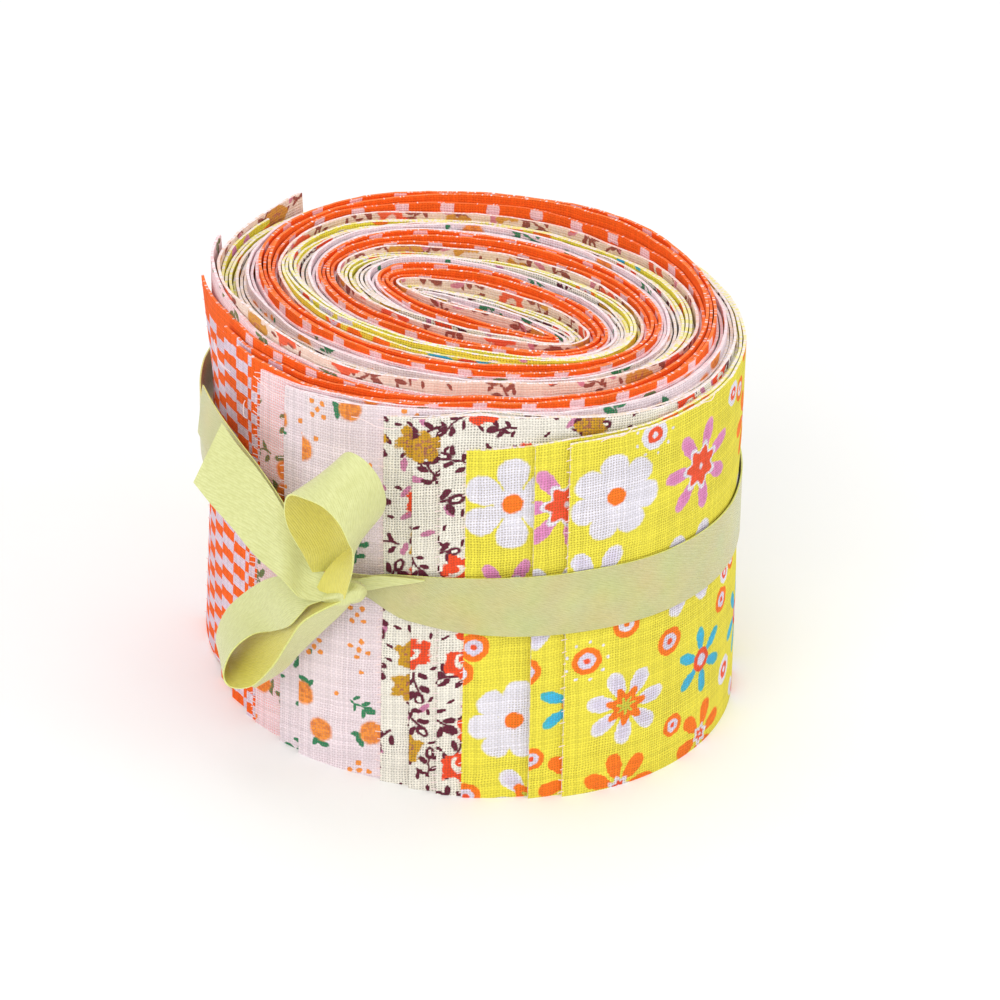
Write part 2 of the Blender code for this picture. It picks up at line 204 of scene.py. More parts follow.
# The ribbon round the roll: angle, height of its middle, half its width and how far it stands off
Band = namedtuple("Band", "angle height half_width off")
BAND = (
    Band(127.5, 37.4, 2.2, -1.3),
    Band(132.0, 38.6, 4.0, -0.9),
    Band(138.0, 40.2, 5.2, -0.5),
    Band(160.0, 43.5, 5.5, 0.4),
    Band(191.0, 44.5, 5.5, 0.4),
    Band(235.0, 42.5, 5.5, 0.5),
    Band(300.0, 38.0, 5.5, 0.45),
    Band(380.0, 35.4, 5.5, 0.45),
    Band(427.0, 36.5, 5.6, 0.45),
    Band(444.0, 36.4, 5.4, 0.45),
    Band(455.0, 36.1, 5.0, 0.1),
    Band(463.0, 35.9, 4.4, -0.3),
    Band(467.6, 35.7, 4.0, -0.5),
    Band(471.0, 36.0, 3.2, -0.5),
    Band(474.0, 36.2, 2.2, -0.4),
    Band(478.0, 36.6, 1.4, -0.1),
    Band(482.0, 36.9, 1.0, 0.4),
)
# The band's upper edge folds over by the knot
FOLD = (
    Band(462.3, 39.9, 0.1, 0.15),
    Band(466.0, 39.25, 0.55, 0.15),
    Band(470.0, 38.6, 0.95, 0.35),
    Band(473.0, 37.9, 1.25, 0.7),
    Band(475.6, 37.2, 1.15, 1.3),
    Band(479.0, 36.9, 0.9, 1.9),
)
BAND_STEP = 1.5

# Sections across the bow's ribbon: the edge by the roll and the edge away from it
Section = namedtuple("Section", "x1 y1 z1 x2 y2 z2")
LOOP_UPPER = (
    Section(-19.4, -37.8, 40.0, -24.3, -40.4, 41.0),
    Section(-18.4, -38.4, 44.6, -25.8, -44.4, 47.0),
    Section(-18.6, -39.2, 50.0, -27.8, -45.6, 52.0),
    Section(-19.6, -39.6, 55.6, -28.4, -46.4, 56.0),
    Section(-20.4, -41.0, 60.8, -27.6, -48.2, 59.6),
    Section(-18.8, -43.2, 64.4, -25.0, -51.2, 60.8),
    Section(-16.0, -45.4, 64.2, -22.2, -53.6, 60.8),
    Section(-13.6, -46.6, 61.2, -19.8, -54.6, 58.6),
    Section(-13.0, -46.0, 56.2, -18.4, -53.8, 54.8),
    Section(-16.2, -44.4, 50.4, -17.7, -50.6, 50.6),
    Section(-21.5, -41.6, 42.9, -18.0, -46.5, 44.5),
    Section(-23.7, -40.4, 37.8, -19.1, -43.0, 37.7),
)
LOOP_LOWER = (
    Section(-22.6, -39.6, 38.4, -22.4, -41.4, 36.4),
    Section(-25.8, -37.4, 37.6, -24.8, -41.4, 35.4),
    Section(-28.6, -35.0, 36.8, -26.2, -41.6, 33.8),
    Section(-31.8, -32.0, 34.2, -28.0, -40.6, 31.0),
    Section(-35.4, -28.4, 29.4, -30.4, -37.0, 27.8),
    Section(-38.4, -26.0, 24.6, -34.0, -34.8, 25.6),
    Section(-40.0, -25.0, 19.8, -37.2, -34.4, 22.2),
    Section(-39.9, -25.2, 16.9, -38.6, -34.6, 18.0),
    Section(-38.1, -26.0, 16.6, -37.4, -35.9, 16.4),
    Section(-35.8, -27.7, 20.0, -34.0, -37.2, 17.5),
    Section(-33.3, -29.8, 23.5, -30.7, -38.8, 22.2),
    Section(-31.0, -31.8, 26.9, -28.3, -40.2, 27.4),
    Section(-28.5, -34.2, 30.3, -25.9, -41.6, 32.3),
    Section(-25.4, -36.6, 33.2, -22.6, -42.6, 35.4),
    Section(-22.2, -38.6, 35.3, -19.4, -42.9, 37.3),
)
# The lower loop's ribbon is creased by the knot: from the crease to its lower edge
LOOP_CREASE = (
    Section(-34.0, -36.8, 17.2, -33.7, -35.6, 16.1),
    Section(-30.7, -38.2, 21.8, -29.2, -33.4, 18.1),
    Section(-28.3, -39.6, 27.0, -26.0, -34.6, 22.8),
    Section(-25.9, -41.2, 32.0, -22.7, -36.6, 27.8),
    Section(-22.6, -42.2, 35.1, -20.2, -38.6, 31.8),
    Section(-19.4, -42.6, 37.1, -18.4, -40.6, 35.3),
)
TAIL_FRONT = (
    Section(-21.8, -39.6, 39.8, -22.2, -41.4, 36.2),
    Section(-24.7, -38.2, 42.2, -26.0, -41.8, 37.0),
    Section(-27.2, -35.9, 45.8, -28.6, -42.4, 40.4),
    Section(-30.2, -33.2, 50.4, -33.2, -38.6, 42.6),
    Section(-33.4, -29.8, 53.4, -37.0, -34.8, 45.4),
    Section(-36.4, -26.4, 55.4, -40.3, -31.6, 47.5),
    Section(-39.0, -22.8, 57.3, -43.3, -28.6, 49.8),
)
TAIL_BACK = (
    Section(-24.2, -37.4, 42.2, -24.8, -38.2, 38.0),
    Section(-26.8, -35.2, 45.6, -28.4, -35.9, 40.2),
    Section(-29.2, -32.6, 49.0, -31.4, -33.4, 41.0),
    Section(-33.0, -28.2, 52.6, -35.6, -28.8, 43.8),
    Section(-37.0, -23.0, 55.2, -38.9, -23.6, 47.4),
    Section(-40.4, -16.6, 56.6, -41.5, -17.2, 48.2),
    Section(-42.6, -10.4, 57.0, -43.4, -10.9, 48.6),
)
CURVE_STEPS = 8
ACROSS_STEPS = 8

KNOT_AT = (-19.6, -41.0, 37.6)
KNOT_HALF = (4.3, 2.0, 1.9)
KNOT_TURN = math.radians(-28.0)
KNOT_TILT = math.radians(-20.0)

# The camera: where it looks, from how far and how it is turned
CAMERA_DISTANCE = 0.931
CAMERA_ELEVATION = math.radians(31.1)
CAMERA_ROLL = math.radians(0.9)
CAMERA_TARGET_Z = 0.032
CAMERA_LENS = 205.9
CAMERA_SENSOR = 36.0
CAMERA_SHIFT = (0.0306, -0.0102)

# The prints
THREAD_SPACING = 0.47
PRINT_STEP = 0.3
PRINT_DRIFT = 0.5
BAR_LENGTH = 4.6
BAR_PERIOD = 4.0
BARS_TO = 17.0
BARS_TOP = 60.0
MARKS_FROM = 62.2
MARK_SPACING = 7.6
MARK_LENGTH = 2.2
FLOAT_SPACING = 0.38
FLOAT_SLANT = math.radians(-20.0)

# Softboxes: place in metres, side and power in watts
Softbox = namedtuple("Softbox", "name x y z size power")
SOFTBOXES = (
    Softbox("softbox_front", -0.45, -1.0, 0.9, 0.9, 6.0),
    Softbox("softbox_right", 1.0, -0.4, 0.7, 0.8, 2.5),
    Softbox("softbox_top", 0.0, 0.3, 1.3, 1.0, 3.5),
)


def paint(*screen):
    """A screen colour, 0 to 255, in the linear numbers that Blender mixes."""
    shares = [value / 255.0 for value in screen]
    return tuple(share / 12.92 if share < 0.04 else ((share + 0.055) / 1.055) ** 2.4
                 for share in shares)


YELLOW, CREAM, PINK_WHITE = paint(240, 228, 76), paint(242, 238, 226), paint(246, 232, 238)
CHECK_ORANGE = paint(255, 104, 26)
BAR, MARK = paint(226, 208, 224), paint(250, 208, 212)
WHITE, LILAC = paint(232, 228, 238), paint(220, 212, 232)
ORANGE, RED = paint(252, 122, 36), paint(240, 84, 52)
MAROON, MAUVE = paint(98, 30, 52), paint(205, 130, 165)
POPPY, MUSTARD, MUSTARD_DEEP = paint(240, 78, 40), paint(208, 156, 40), paint(176, 112, 84)
FRUIT, FRUIT_DEEP, LEAF = paint(250, 152, 56), paint(226, 128, 56), paint(30, 130, 84)
SATIN, GOLD = paint(222, 225, 157), paint(228, 219, 104)
# How much darker the darker share of a cloth is, and the painted shade on the ribbon where it lies on the
# roll
GROUND_SHADE = (0.94, 0.91, 0.90)
SATIN_SHADE = (0.80, 0.79, 0.66)
BAND_SHADE = (0.82, 0.78, 0.74)
# Painted highlight: the ribbon's cut edges are painted lighter and yellower than its face
EDGE_SHINE = (1.10, 1.11, 0.79)
EDGE_WHITE, THREAD_DEEP = paint(250, 240, 242), paint(244, 206, 200)

# The cottons: print, name of its ground colour, slot, how open the weave is, the colour painted into
# its gaps, how much of that tints the threads, and the colour of a cut edge
# The gap colour is painted shade of the shaded layers behind; for fruit_pink it is the orange strip behind
# and for sprig_peach a peach tint
Cotton = namedtuple("Cotton", "print ground slot gaps behind tint edge")
COTTONS = {
    "daisy": Cotton("daisy", "yellow", "cotton_yellow", 0.5, paint(128, 104, 28), 0.0,
                    paint(248, 240, 150)),
    "sprig": Cotton("sprig", "cream", "cotton_cream", 0.66, paint(92, 80, 70), 0.0,
                    paint(246, 226, 206)),
    "sprig_peach": Cotton("sprig", "cream", "cotton_cream", 0.4, paint(255, 158, 118), 0.24,
                          paint(252, 214, 196)),
    "fruit": Cotton("fruit", "pink_white", "cotton_sprig", 0.42, paint(176, 136, 146), 0.05,
                    paint(250, 222, 226)),
    "fruit_pink": Cotton("fruit", "pink_white", "cotton_sprig", 0.55, paint(255, 92, 66), 0.12,
                         paint(252, 206, 208)),
    "check": Cotton("check", "orange", "cotton_check", 0.3, paint(196, 56, 8), 0.0,
                    paint(255, 128, 66)),
}

# The kinds of daisy: colours from the petals in, and sizes as shares of the flower's radius
Daisy = namedtuple("Daisy", "petal petal_rim ring heart dot half_width size star ring_at heart_at dot_at")
DAISIES = (
    Daisy(LILAC, WHITE, paint(212, 226, 64), WHITE, WHITE, 0.205, 1.0, 0.0, 0.34, 0.22, 0.0),
    Daisy(paint(226, 138, 190), paint(228, 150, 194), WHITE, RED, WHITE, 0.15, 0.98, 0.09, 0.45, 0.37, 0.06),
    Daisy(WHITE, WHITE, WHITE, ORANGE, ORANGE, 0.30, 1.0, 0.0, 0.36, 0.21, 0.0),
    Daisy(paint(64, 182, 226), paint(74, 186, 192), RED, LILAC, WHITE, 0.16, 0.9, 0.0, 0.34, 0.17, 0.0),
    Daisy(ORANGE, ORANGE, WHITE, RED, WHITE, 0.20, 0.9, 0.05, 0.27, 0.15, 0.05),
    Daisy(LILAC, WHITE, ORANGE, paint(206, 202, 72), ORANGE, 0.20, 0.96, 0.11, 0.42, 0.18, 0.0),
)


class FabricRollCloth(bpy.types.PropertyGroup):
    """Thicknesses of the cloth and the ribbon."""

    cotton_thickness: FloatProperty(
        name="Cotton thickness", description="Thickness of a cotton strip",
        default=0.00046, min=0.0001, max=0.001, unit="LENGTH", subtype="DISTANCE")
    ribbon_thickness: FloatProperty(
        name="Ribbon thickness", description="Thickness of the satin ribbon",
        default=0.00024, min=0.0001, max=0.001, unit="LENGTH", subtype="DISTANCE")


class FabricRollColours(bpy.types.PropertyGroup):
    """Colours of the prints and the ribbon."""

    yellow: FloatVectorProperty(
        name="Yellow", description="Ground of the daisy print", default=YELLOW,
        min=0.0, max=1.0, subtype="COLOR")
    cream: FloatVectorProperty(
        name="Cream", description="Ground of the sprig print", default=CREAM,
        min=0.0, max=1.0, subtype="COLOR")
    pink_white: FloatVectorProperty(
        name="Pinkish white", description="Ground of the fruit print", default=PINK_WHITE,
        min=0.0, max=1.0, subtype="COLOR")
    orange: FloatVectorProperty(
        name="Orange", description="Ground of the check print", default=CHECK_ORANGE,
        min=0.0, max=1.0, subtype="COLOR")
    ribbon: FloatVectorProperty(
        name="Ribbon", description="Shiny side of the satin ribbon", default=SATIN,
        min=0.0, max=1.0, subtype="COLOR")
    ribbon_inside: FloatVectorProperty(
        name="Ribbon inside", description="Inner side of the ribbon's loops", default=GOLD,
        min=0.0, max=1.0, subtype="COLOR")


class FabricRollStage(bpy.types.PropertyGroup):
    """Floor and light."""

    floor_size: FloatProperty(
        name="Floor size", description="Side of the floor", default=6.0, min=1.0,
        unit="LENGTH", subtype="DISTANCE")
    fill: FloatProperty(
        name="Fill light", description="Strength of the even light from all round",
        default=0.72, min=0.0)
    floor_colour: FloatVectorProperty(
        name="Floor", description="Colour of the floor", default=(0.99, 0.99, 0.99),
        min=0.0, max=1.0, subtype="COLOR")


def shaded(colour, shade):
    """A colour made darker or lighter channel by channel."""
    return tuple(min(value * share, 1.0) for value, share in zip(colour, shade))


def column(table, name):
    """One named column of a table as numbers."""
    return [getattr(row, name) for row in table]


def read_off(table, by, name, at):
    """Values of a column where another column has these values, on straight lines between rows."""
    return np.interp(at, column(table, by), column(table, name))


def plan_point(share, angle):
    """Plan place on the oval that is this share of the outline, or past it above 1."""
    along = -np.radians(angle) - OVAL_TURN
    half_length = CORE_HALF_LENGTH + (HALF_LENGTH - CORE_HALF_LENGTH) * share
    u = half_length * np.cos(along)
    v = HALF_DEPTH * share * np.sin(along)
    x = CORE_AT[0] * (1.0 - share) + u * math.cos(OVAL_TURN) - v * math.sin(OVAL_TURN)
    y = CORE_AT[1] * (1.0 - share) + u * math.sin(OVAL_TURN) + v * math.cos(OVAL_TURN)
    return x, y


def off_wall(angle, distance, z):
    """A place this far outside the plan oval, or inside it below 0."""
    x, y = plan_point(1.0 + distance / MEAN_RADIUS, angle)
    return np.array((x, y, z))


def layers_to_outline(angle):
    """Layers between the core and the outline at angles round the roll."""
    return np.interp(angle, (FULLEST_AT, THINNEST_AT), (LAYERS_AT_FULLEST, LAYERS_AT_THINNEST),
                     period=360.0)


def layer_of(index, angle):
    """How many layers out from the core a strip runs at an angle of the winding."""
    return LAYERS_AT_FULLEST + len(STRIPS) * (angle - FULLEST_AT) / 360.0 - index


def winding_angles(index):
    """Angles of a strip's columns, from its outer end in to the core."""
    angle = STRIPS[index].end
    angles = []
    while layer_of(index, angle) > INNERMOST_LAYER:
        angles.append(angle)
        share = layer_of(index, angle) / float(layers_to_outline(angle))
        half_length = CORE_HALF_LENGTH + (HALF_LENGTH - CORE_HALF_LENGTH) * share
        angle -= min(math.degrees(COLUMN_MM / half_length), LARGEST_STEP)
    return np.array(angles)


def smooth_step(value):
    """0 below 0, 1 above 1 and a smooth rise between."""
    value = np.clip(value, 0.0, 1.0)
    return value * value * (3.0 - 2.0 * value)


def waves(at, seed, size, lengths):
    """A smooth wandering value along a strip."""
    draw = np.random.RandomState(seed)
    total = np.zeros_like(at, dtype=float)
    for length in lengths:
        total += math.sqrt(length / lengths[0]) * np.sin(2.0 * math.pi * (at / length + draw.rand()))
    return size * total / len(lengths)


def top_heights(index, angles, shares, along):
    """Height of a strip's top edge along its winding."""
    group = STRIPS[index].group
    outer = read_off(OUTER_TOPS, "angle", group, angles)
    stands = [row for row in STANDS if row.group == group]
    sides = [np.interp(angles, (0.0, 90.0, 180.0, 270.0), row[2:], period=360.0) for row in stands]
    lift = sides[0]
    for inner, outer_row, rise in zip(stands, stands[1:], sides[1:]):
        lift = lift + (rise - lift) * smooth_step((shares - inner.share) / (outer_row.share - inner.share))
    tilt = read_off(INNER_TOPS, "share", "tilt", shares) * np.sin(np.radians(angles))
    inner = read_off(INNER_TOPS, "share", "height", shares) + tilt + lift
    weight = smooth_step((INNER_FROM - angles) / (INNER_FROM - INNER_TO))
    height = outer + (inner - outer) * weight
    height += waves(along, 40 + index, 0.42, (61.0, 33.0, 17.0))
    height += 0.35 * math.sin(2.4 * index)
    height += waves(along, 70 + index, 0.07, (5.1, 2.7, 1.9))
    return height


def strip_grid(index):
    """Places of a strip's middle surface, column by column, and how far along the strip each is."""
    strip = STRIPS[index]
    angles = winding_angles(index)
    shares = (layer_of(index, angles) - CLUSTER_PULL * (index - CLUSTER[strip.group]))
    shares = shares / layers_to_outline(angles)
    x, y = plan_point(shares, angles)
    along = np.concatenate(([0.0], np.cumsum(np.hypot(np.diff(x), np.diff(y)))))
    tops = top_heights(index, angles, shares, along)
    feet = np.maximum(0.0, tops - STRIP_HEIGHT - 0.6) * smooth_step((0.97 - shares) / 0.05)
    outerness = smooth_step((shares - 0.35) / 0.6)
    loose = LOOSE.get(strip.name)
    freedom = np.zeros_like(angles)
    if loose:
        freedom = np.clip((angles - loose.start) / (strip.end - loose.start), 0.0, 1.0) ** 1.6
    grid = np.empty((len(angles), len(ROWS), 3))
    lean = np.interp(angles, column(LEANS, "angle"), column(LEANS, "depth"), period=360.0)
    band = np.interp(angles, column(BAND, "angle"), column(BAND, "height"), period=360.0)
    ripple = waves(shares * 80.0 + angles * 0.11, 5, 0.30, (23.0, 14.0, 9.0))
    ripple += waves(angles, 6, 0.25, (120.0, 72.0, 45.0))
    edge = waves(along, 100 + index, 0.10, (13.0, 7.0, 4.0))
    for j, row in enumerate(ROWS):
        z = feet + (tops - feet) * row
        inwards = lean * row ** 1.5
        inwards = inwards + PINCH_DEPTH * np.exp(-((z - band) / PINCH_HEIGHT) ** 2)
        offset = -inwards * outerness + ripple * (0.3 + 0.7 * row) * smooth_step(shares / 0.2)
        offset = offset + edge * smooth_step((row - 0.85) / 0.15)
        if loose:
            held = np.interp(row, (0.0, 0.45, 0.75, 1.0),
                             (loose.foot, loose.waist, loose.waist, loose.top))
            offset = offset + held * freedom
        px, py = plan_point(shares + offset / MEAN_RADIUS, angles)
        grid[:, j] = np.stack((px, py, z), axis=1)
    return grid, along


def grid_piece(name, grid, along, across, materials, thickness, shift=None):
    """A cloth piece on a grid of places, with its UV maps in metres of flat cloth.

    The materials are those of its face, its cut edges and, where there is a third, its reverse.
    """
    rows, columns = grid.shape[:2]
    mesh = bpy.data.meshes.new(name)
    verts = (grid.reshape(-1, 3) * MM).tolist()
    faces = []
    for i in range(rows - 1):
        for j in range(columns - 1):
            a = i * columns + j
            faces.append((a, a + 1, a + columns + 1, a + columns))
    mesh.from_pydata(verts, [], faces)
    corners = np.empty(len(mesh.loops), dtype=np.int32)
    mesh.loops.foreach_get("vertex_index", corners)
    flat = np.stack(np.broadcast_arrays(along, across), axis=-1).reshape(-1, 2) * MM
    maps = {"Flat": flat}
    if shift:
        maps["Print"] = flat + np.array(shift) * MM
    for map_name, places in maps.items():
        layer = mesh.uv_layers.new(name=map_name)
        layer.data.foreach_set("uv", places[corners].astype(np.float32).ravel())
    obj = bpy.data.objects.new(name, mesh)
    bpy.context.scene.collection.objects.link(obj)
    for material in materials:
        mesh.materials.append(material)
    mesh.shade_smooth()
    thicken(obj, thickness, len(materials) - 1)
    return obj


def thicken(obj, thickness, slots):
    """Gives a sheet its thickness, evenly about its middle surface."""
    bpy.ops.object.select_all(action="DESELECT")
    obj.select_set(True)
    bpy.context.view_layer.objects.active = obj
    solid = obj.modifiers.new("Thickness", "SOLIDIFY")
    solid.thickness = thickness
    solid.offset = 0.0
    solid.use_even_offset = False
    solid.material_offset_rim = min(slots, 1)
    solid.material_offset = 2 if slots > 1 else 0
    bpy.ops.object.modifier_apply(modifier=solid.name)
    bpy.ops.object.shade_smooth_by_angle(angle=math.radians(50.0))
    obj.select_set(False)


def flat_lengths(grid):
    """How far each place of a grid is along and across the flat cloth, in its middle measure."""
    steps = np.linalg.norm(np.diff(grid, axis=0), axis=2)
    along = np.concatenate((np.zeros((1, grid.shape[1])), np.cumsum(steps, axis=0)), axis=0)
    across = np.linalg.norm(np.diff(grid, axis=1), axis=2)
    across = np.concatenate((np.zeros((grid.shape[0], 1)), np.cumsum(across, axis=1)), axis=1)
    return along, across


def smooth_rows(table, steps):
    """Sections read from a smooth curve through the table's rows."""
    rows = [np.array(row) for row in table]
    padded = [2.0 * rows[0] - rows[1], *rows, 2.0 * rows[-1] - rows[-2]]
    out = []
    for i in range(1, len(padded) - 2):
        before, start, end, after = padded[i - 1:i + 3]
        for step in range(steps):
            t = step / steps
            out.append(0.5 * (2.0 * start + (end - before) * t
                              + (2.0 * before - 5.0 * start + 4.0 * end - after) * t ** 2
                              + (3.0 * start - before - 3.0 * end + after) * t ** 3))
    out.append(rows[-1])
    return out


def band_grid(table):
    """Places on a ribbon that lies round the wall."""
    grid = []
    for angle in np.arange(table[0].angle, table[-1].angle + 0.01, BAND_STEP):
        height, half, off = (read_off(table, "angle", name, angle)
                             for name in ("height", "half_width", "off"))
        grid.append([off_wall(angle, off, z)
                     for z in np.linspace(height - half, height + half, ACROSS_STEPS + 1)])
    return np.array(grid)


def section_grid(table):
    """Places on a length of ribbon through its sections."""
    grid = []
    for row in smooth_rows(table, CURVE_STEPS):
        share = np.linspace(0.0, 1.0, ACROSS_STEPS + 1)[:, None]
        grid.append(row[:3] * (1.0 - share) + row[3:] * share)
    return np.array(grid)


class ClothNodes:
    """Adds nodes to one material and joins them up."""

    def __init__(self, name):
        self.material = bpy.data.materials.new(name)
        self.material.use_nodes = True
        self.tree = self.material.node_tree
        self.shader = self.tree.nodes["Principled BSDF"]

    def feed(self, socket, value):
        """Joins a socket to another, or sets its number or colour."""
        if isinstance(value, bpy.types.NodeSocket):
            self.tree.links.new(value, socket)
        elif socket.type == "RGBA":
            socket.default_value = (*value[:3], 1.0)
        else:
            socket.default_value = value

    def node(self, kind, inputs=None, **settings):
        """A new node with these settings and inputs."""
        node = self.tree.nodes.new("ShaderNode" + kind)
        for name, value in settings.items():
            setattr(node, name, value)
        for key, value in (inputs or {}).items():
            self.feed(node.inputs[key], value)
        return node

    def maths(self, operation, *values, clamp=False):
        """One step of arithmetic."""
        return self.node("Math", dict(enumerate(values)), operation=operation,
                         use_clamp=clamp).outputs[0]

    def vector(self, operation, *values):
        """One step of arithmetic on places."""
        return self.node("VectorMath", dict(enumerate(values)), operation=operation).outputs[0]

    def length(self, place):
        """How far a place is from the origin."""
        return self.node("VectorMath", {0: place}, operation="LENGTH").outputs["Value"]

    def scaled(self, place, scale):
        """A place times a number."""
        return self.node("VectorMath", {0: place, "Scale": scale}, operation="SCALE").outputs[0]

    def split(self, place):
        """The two numbers of a place."""
        return self.node("SeparateXYZ", {0: place}).outputs[:2]

    def chances(self, colour):
        """Three random numbers from a random colour."""
        return self.node("SeparateColor", {0: colour}).outputs[:3]

    def place(self, x, y):
        """A place from its two numbers."""
        return self.node("CombineXYZ", {0: x, 1: y}).outputs[0]

    def inside(self, distance, edge, soft=0.07):
        """1 where a distance is under the edge, with a soft border."""
        over = self.maths("SUBTRACT", edge, distance)
        return self.maths("MULTIPLY_ADD", over, 0.5 / soft, 0.5, clamp=True)

    def between(self, value, low, high, start=0.0, end=1.0):
        """A value from start to end while another goes from low to high."""
        return self.node("MapRange", {0: value, 1: low, 2: high, 3: start, 4: end},
                         interpolation_type="SMOOTHSTEP").outputs[0]

    def mix(self, share, under, over):
        """One colour over another."""
        return self.node("Mix", {0: share, 6: under, 7: over}, data_type="RGBA").outputs[2]

    def noise(self, at, scale, detail=2.0, kind="Fac"):
        """Soft noise from 0 to 1."""
        return self.node("TexNoise", {"Vector": at, "Scale": scale, "Detail": detail},
                         noise_dimensions="2D").outputs[kind]

    def pick(self, share, *colours):
        """One of several colours by a random share."""
        ramp = self.node("ValToRGB", {0: share})
        ramp.color_ramp.interpolation = "CONSTANT"
        stops = ramp.color_ramp.elements
        for k, colour in enumerate(colours):
            stop = stops[k] if k < 2 else stops.new(k / len(colours))
            stop.position = k / len(colours)
            stop.color = (*colour[:3], 1.0)
        return ramp.outputs[0]

    def scatter(self, at, spacing, randomness):
        """The nearest of some scattered middles, its three chances and its free radius."""
        settings = {"Vector": at, "Scale": 1.0 / spacing, "Randomness": randomness}
        near = self.node("TexVoronoi", settings, voronoi_dimensions="2D", feature="F1")
        free = self.node("TexVoronoi", settings, voronoi_dimensions="2D",
                         feature="N_SPHERE_RADIUS")
        radius = self.maths("MULTIPLY", free.outputs["Radius"], spacing)
        return near.outputs["Position"], self.chances(near.outputs["Color"]), radius

    def turned(self, at, chance):
        """A place turned by a random angle about the origin."""
        angle = self.maths("MULTIPLY", chance, 2.0 * math.pi)
        return self.node("VectorRotate", {"Vector": at, "Angle": angle},
                         rotation_type="Z_AXIS").outputs[0]

    def oval(self, at, x, y, long, wide, turn=0.0):
        """1 inside an oval of these half sizes about a middle, turned by degrees."""
        own = self.node("Mapping", {"Vector": at, "Location": (x, y, 0.0),
                                    "Rotation": (0.0, 0.0, math.radians(turn)),
                                    "Scale": (long, wide, 1.0)}, vector_type="TEXTURE").outputs[0]
        return self.inside(self.length(own), 1.0, 0.12)

    def either(self, *masks):
        """The most of several masks."""
        most = masks[0]
        for mask in masks[1:]:
            most = self.maths("MAXIMUM", most, mask)
        return most

    def both(self, *masks):
        """The product of several masks."""
        product = masks[0]
        for mask in masks[1:]:
            product = self.maths("MULTIPLY", product, mask)
        return product

    def uv(self, name):
        """A UV map of the piece in millimetres of flat cloth."""
        flat = self.node("UVMap", uv_map=name).outputs[0]
        return self.scaled(flat, 1.0 / MM)


def print_place(cloth):
    """Where a print is read, so that its borders step from thread to thread and wander a little."""
    at = cloth.uv("Print")
    stepped = cloth.vector("SNAP", at, (THREAD_SPACING, THREAD_SPACING, 1.0))
    eased = cloth.node("Mix", {0: PRINT_STEP, 4: at, 5: stepped}, data_type="VECTOR").outputs[1]
    drift = cloth.vector("SUBTRACT", cloth.noise(at, 0.8, kind="Color"), (0.5, 0.5, 0.5))
    return cloth.vector("ADD", eased, cloth.scaled(drift, PRINT_DRIFT))


def daisy_middles(cloth, at):
    """The nearest daisy's middle, its chances and its size."""
    middle, chances, free = cloth.scatter(at, 18.2, 0.36)
    size = cloth.maths("MINIMUM", cloth.maths("SUBTRACT", free, 0.2), 8.4)
    return middle, chances, size


def add_rings(cloth, at, ground):
    """Rings in the gaps between the daisies, some in a circle of dots."""
    middle, chances, free = cloth.scatter(at, 7.6, 0.85)
    daisy, _, reach = daisy_middles(cloth, middle)
    gap = cloth.maths("SUBTRACT", cloth.length(cloth.vector("SUBTRACT", middle, daisy)), reach)
    room = cloth.maths("MINIMUM", free, gap)
    size = cloth.maths("MINIMUM", room, 2.5)
    shown = cloth.maths("GREATER_THAN", room, 1.8)
    own = cloth.vector("SUBTRACT", at, middle)
    distance = cloth.length(own)
    share = cloth.maths("DIVIDE", distance, size)
    colour = ground
    for edge, colours in ((1.0, (ORANGE, ORANGE, WHITE)), (0.58, (WHITE, LILAC, RED)),
                          (0.22, (ORANGE, RED, WHITE))):
        mask = cloth.both(cloth.inside(share, edge, 0.04), shown)
        colour = cloth.mix(mask, colour, cloth.pick(chances[0], *colours))
    x, y = cloth.split(own)
    angle = cloth.maths("WRAP", cloth.maths("ARCTAN2", y, x), math.pi / 9.0, -math.pi / 9.0)
    across = cloth.maths("MULTIPLY", cloth.maths("SINE", angle), distance)
    out = cloth.maths("SUBTRACT", distance, 3.5)
    dots = cloth.inside(cloth.length(cloth.place(out, across)), 0.28)
    dots = cloth.both(dots, cloth.maths("GREATER_THAN", room, 3.6))
    return cloth.mix(dots, colour, WHITE)


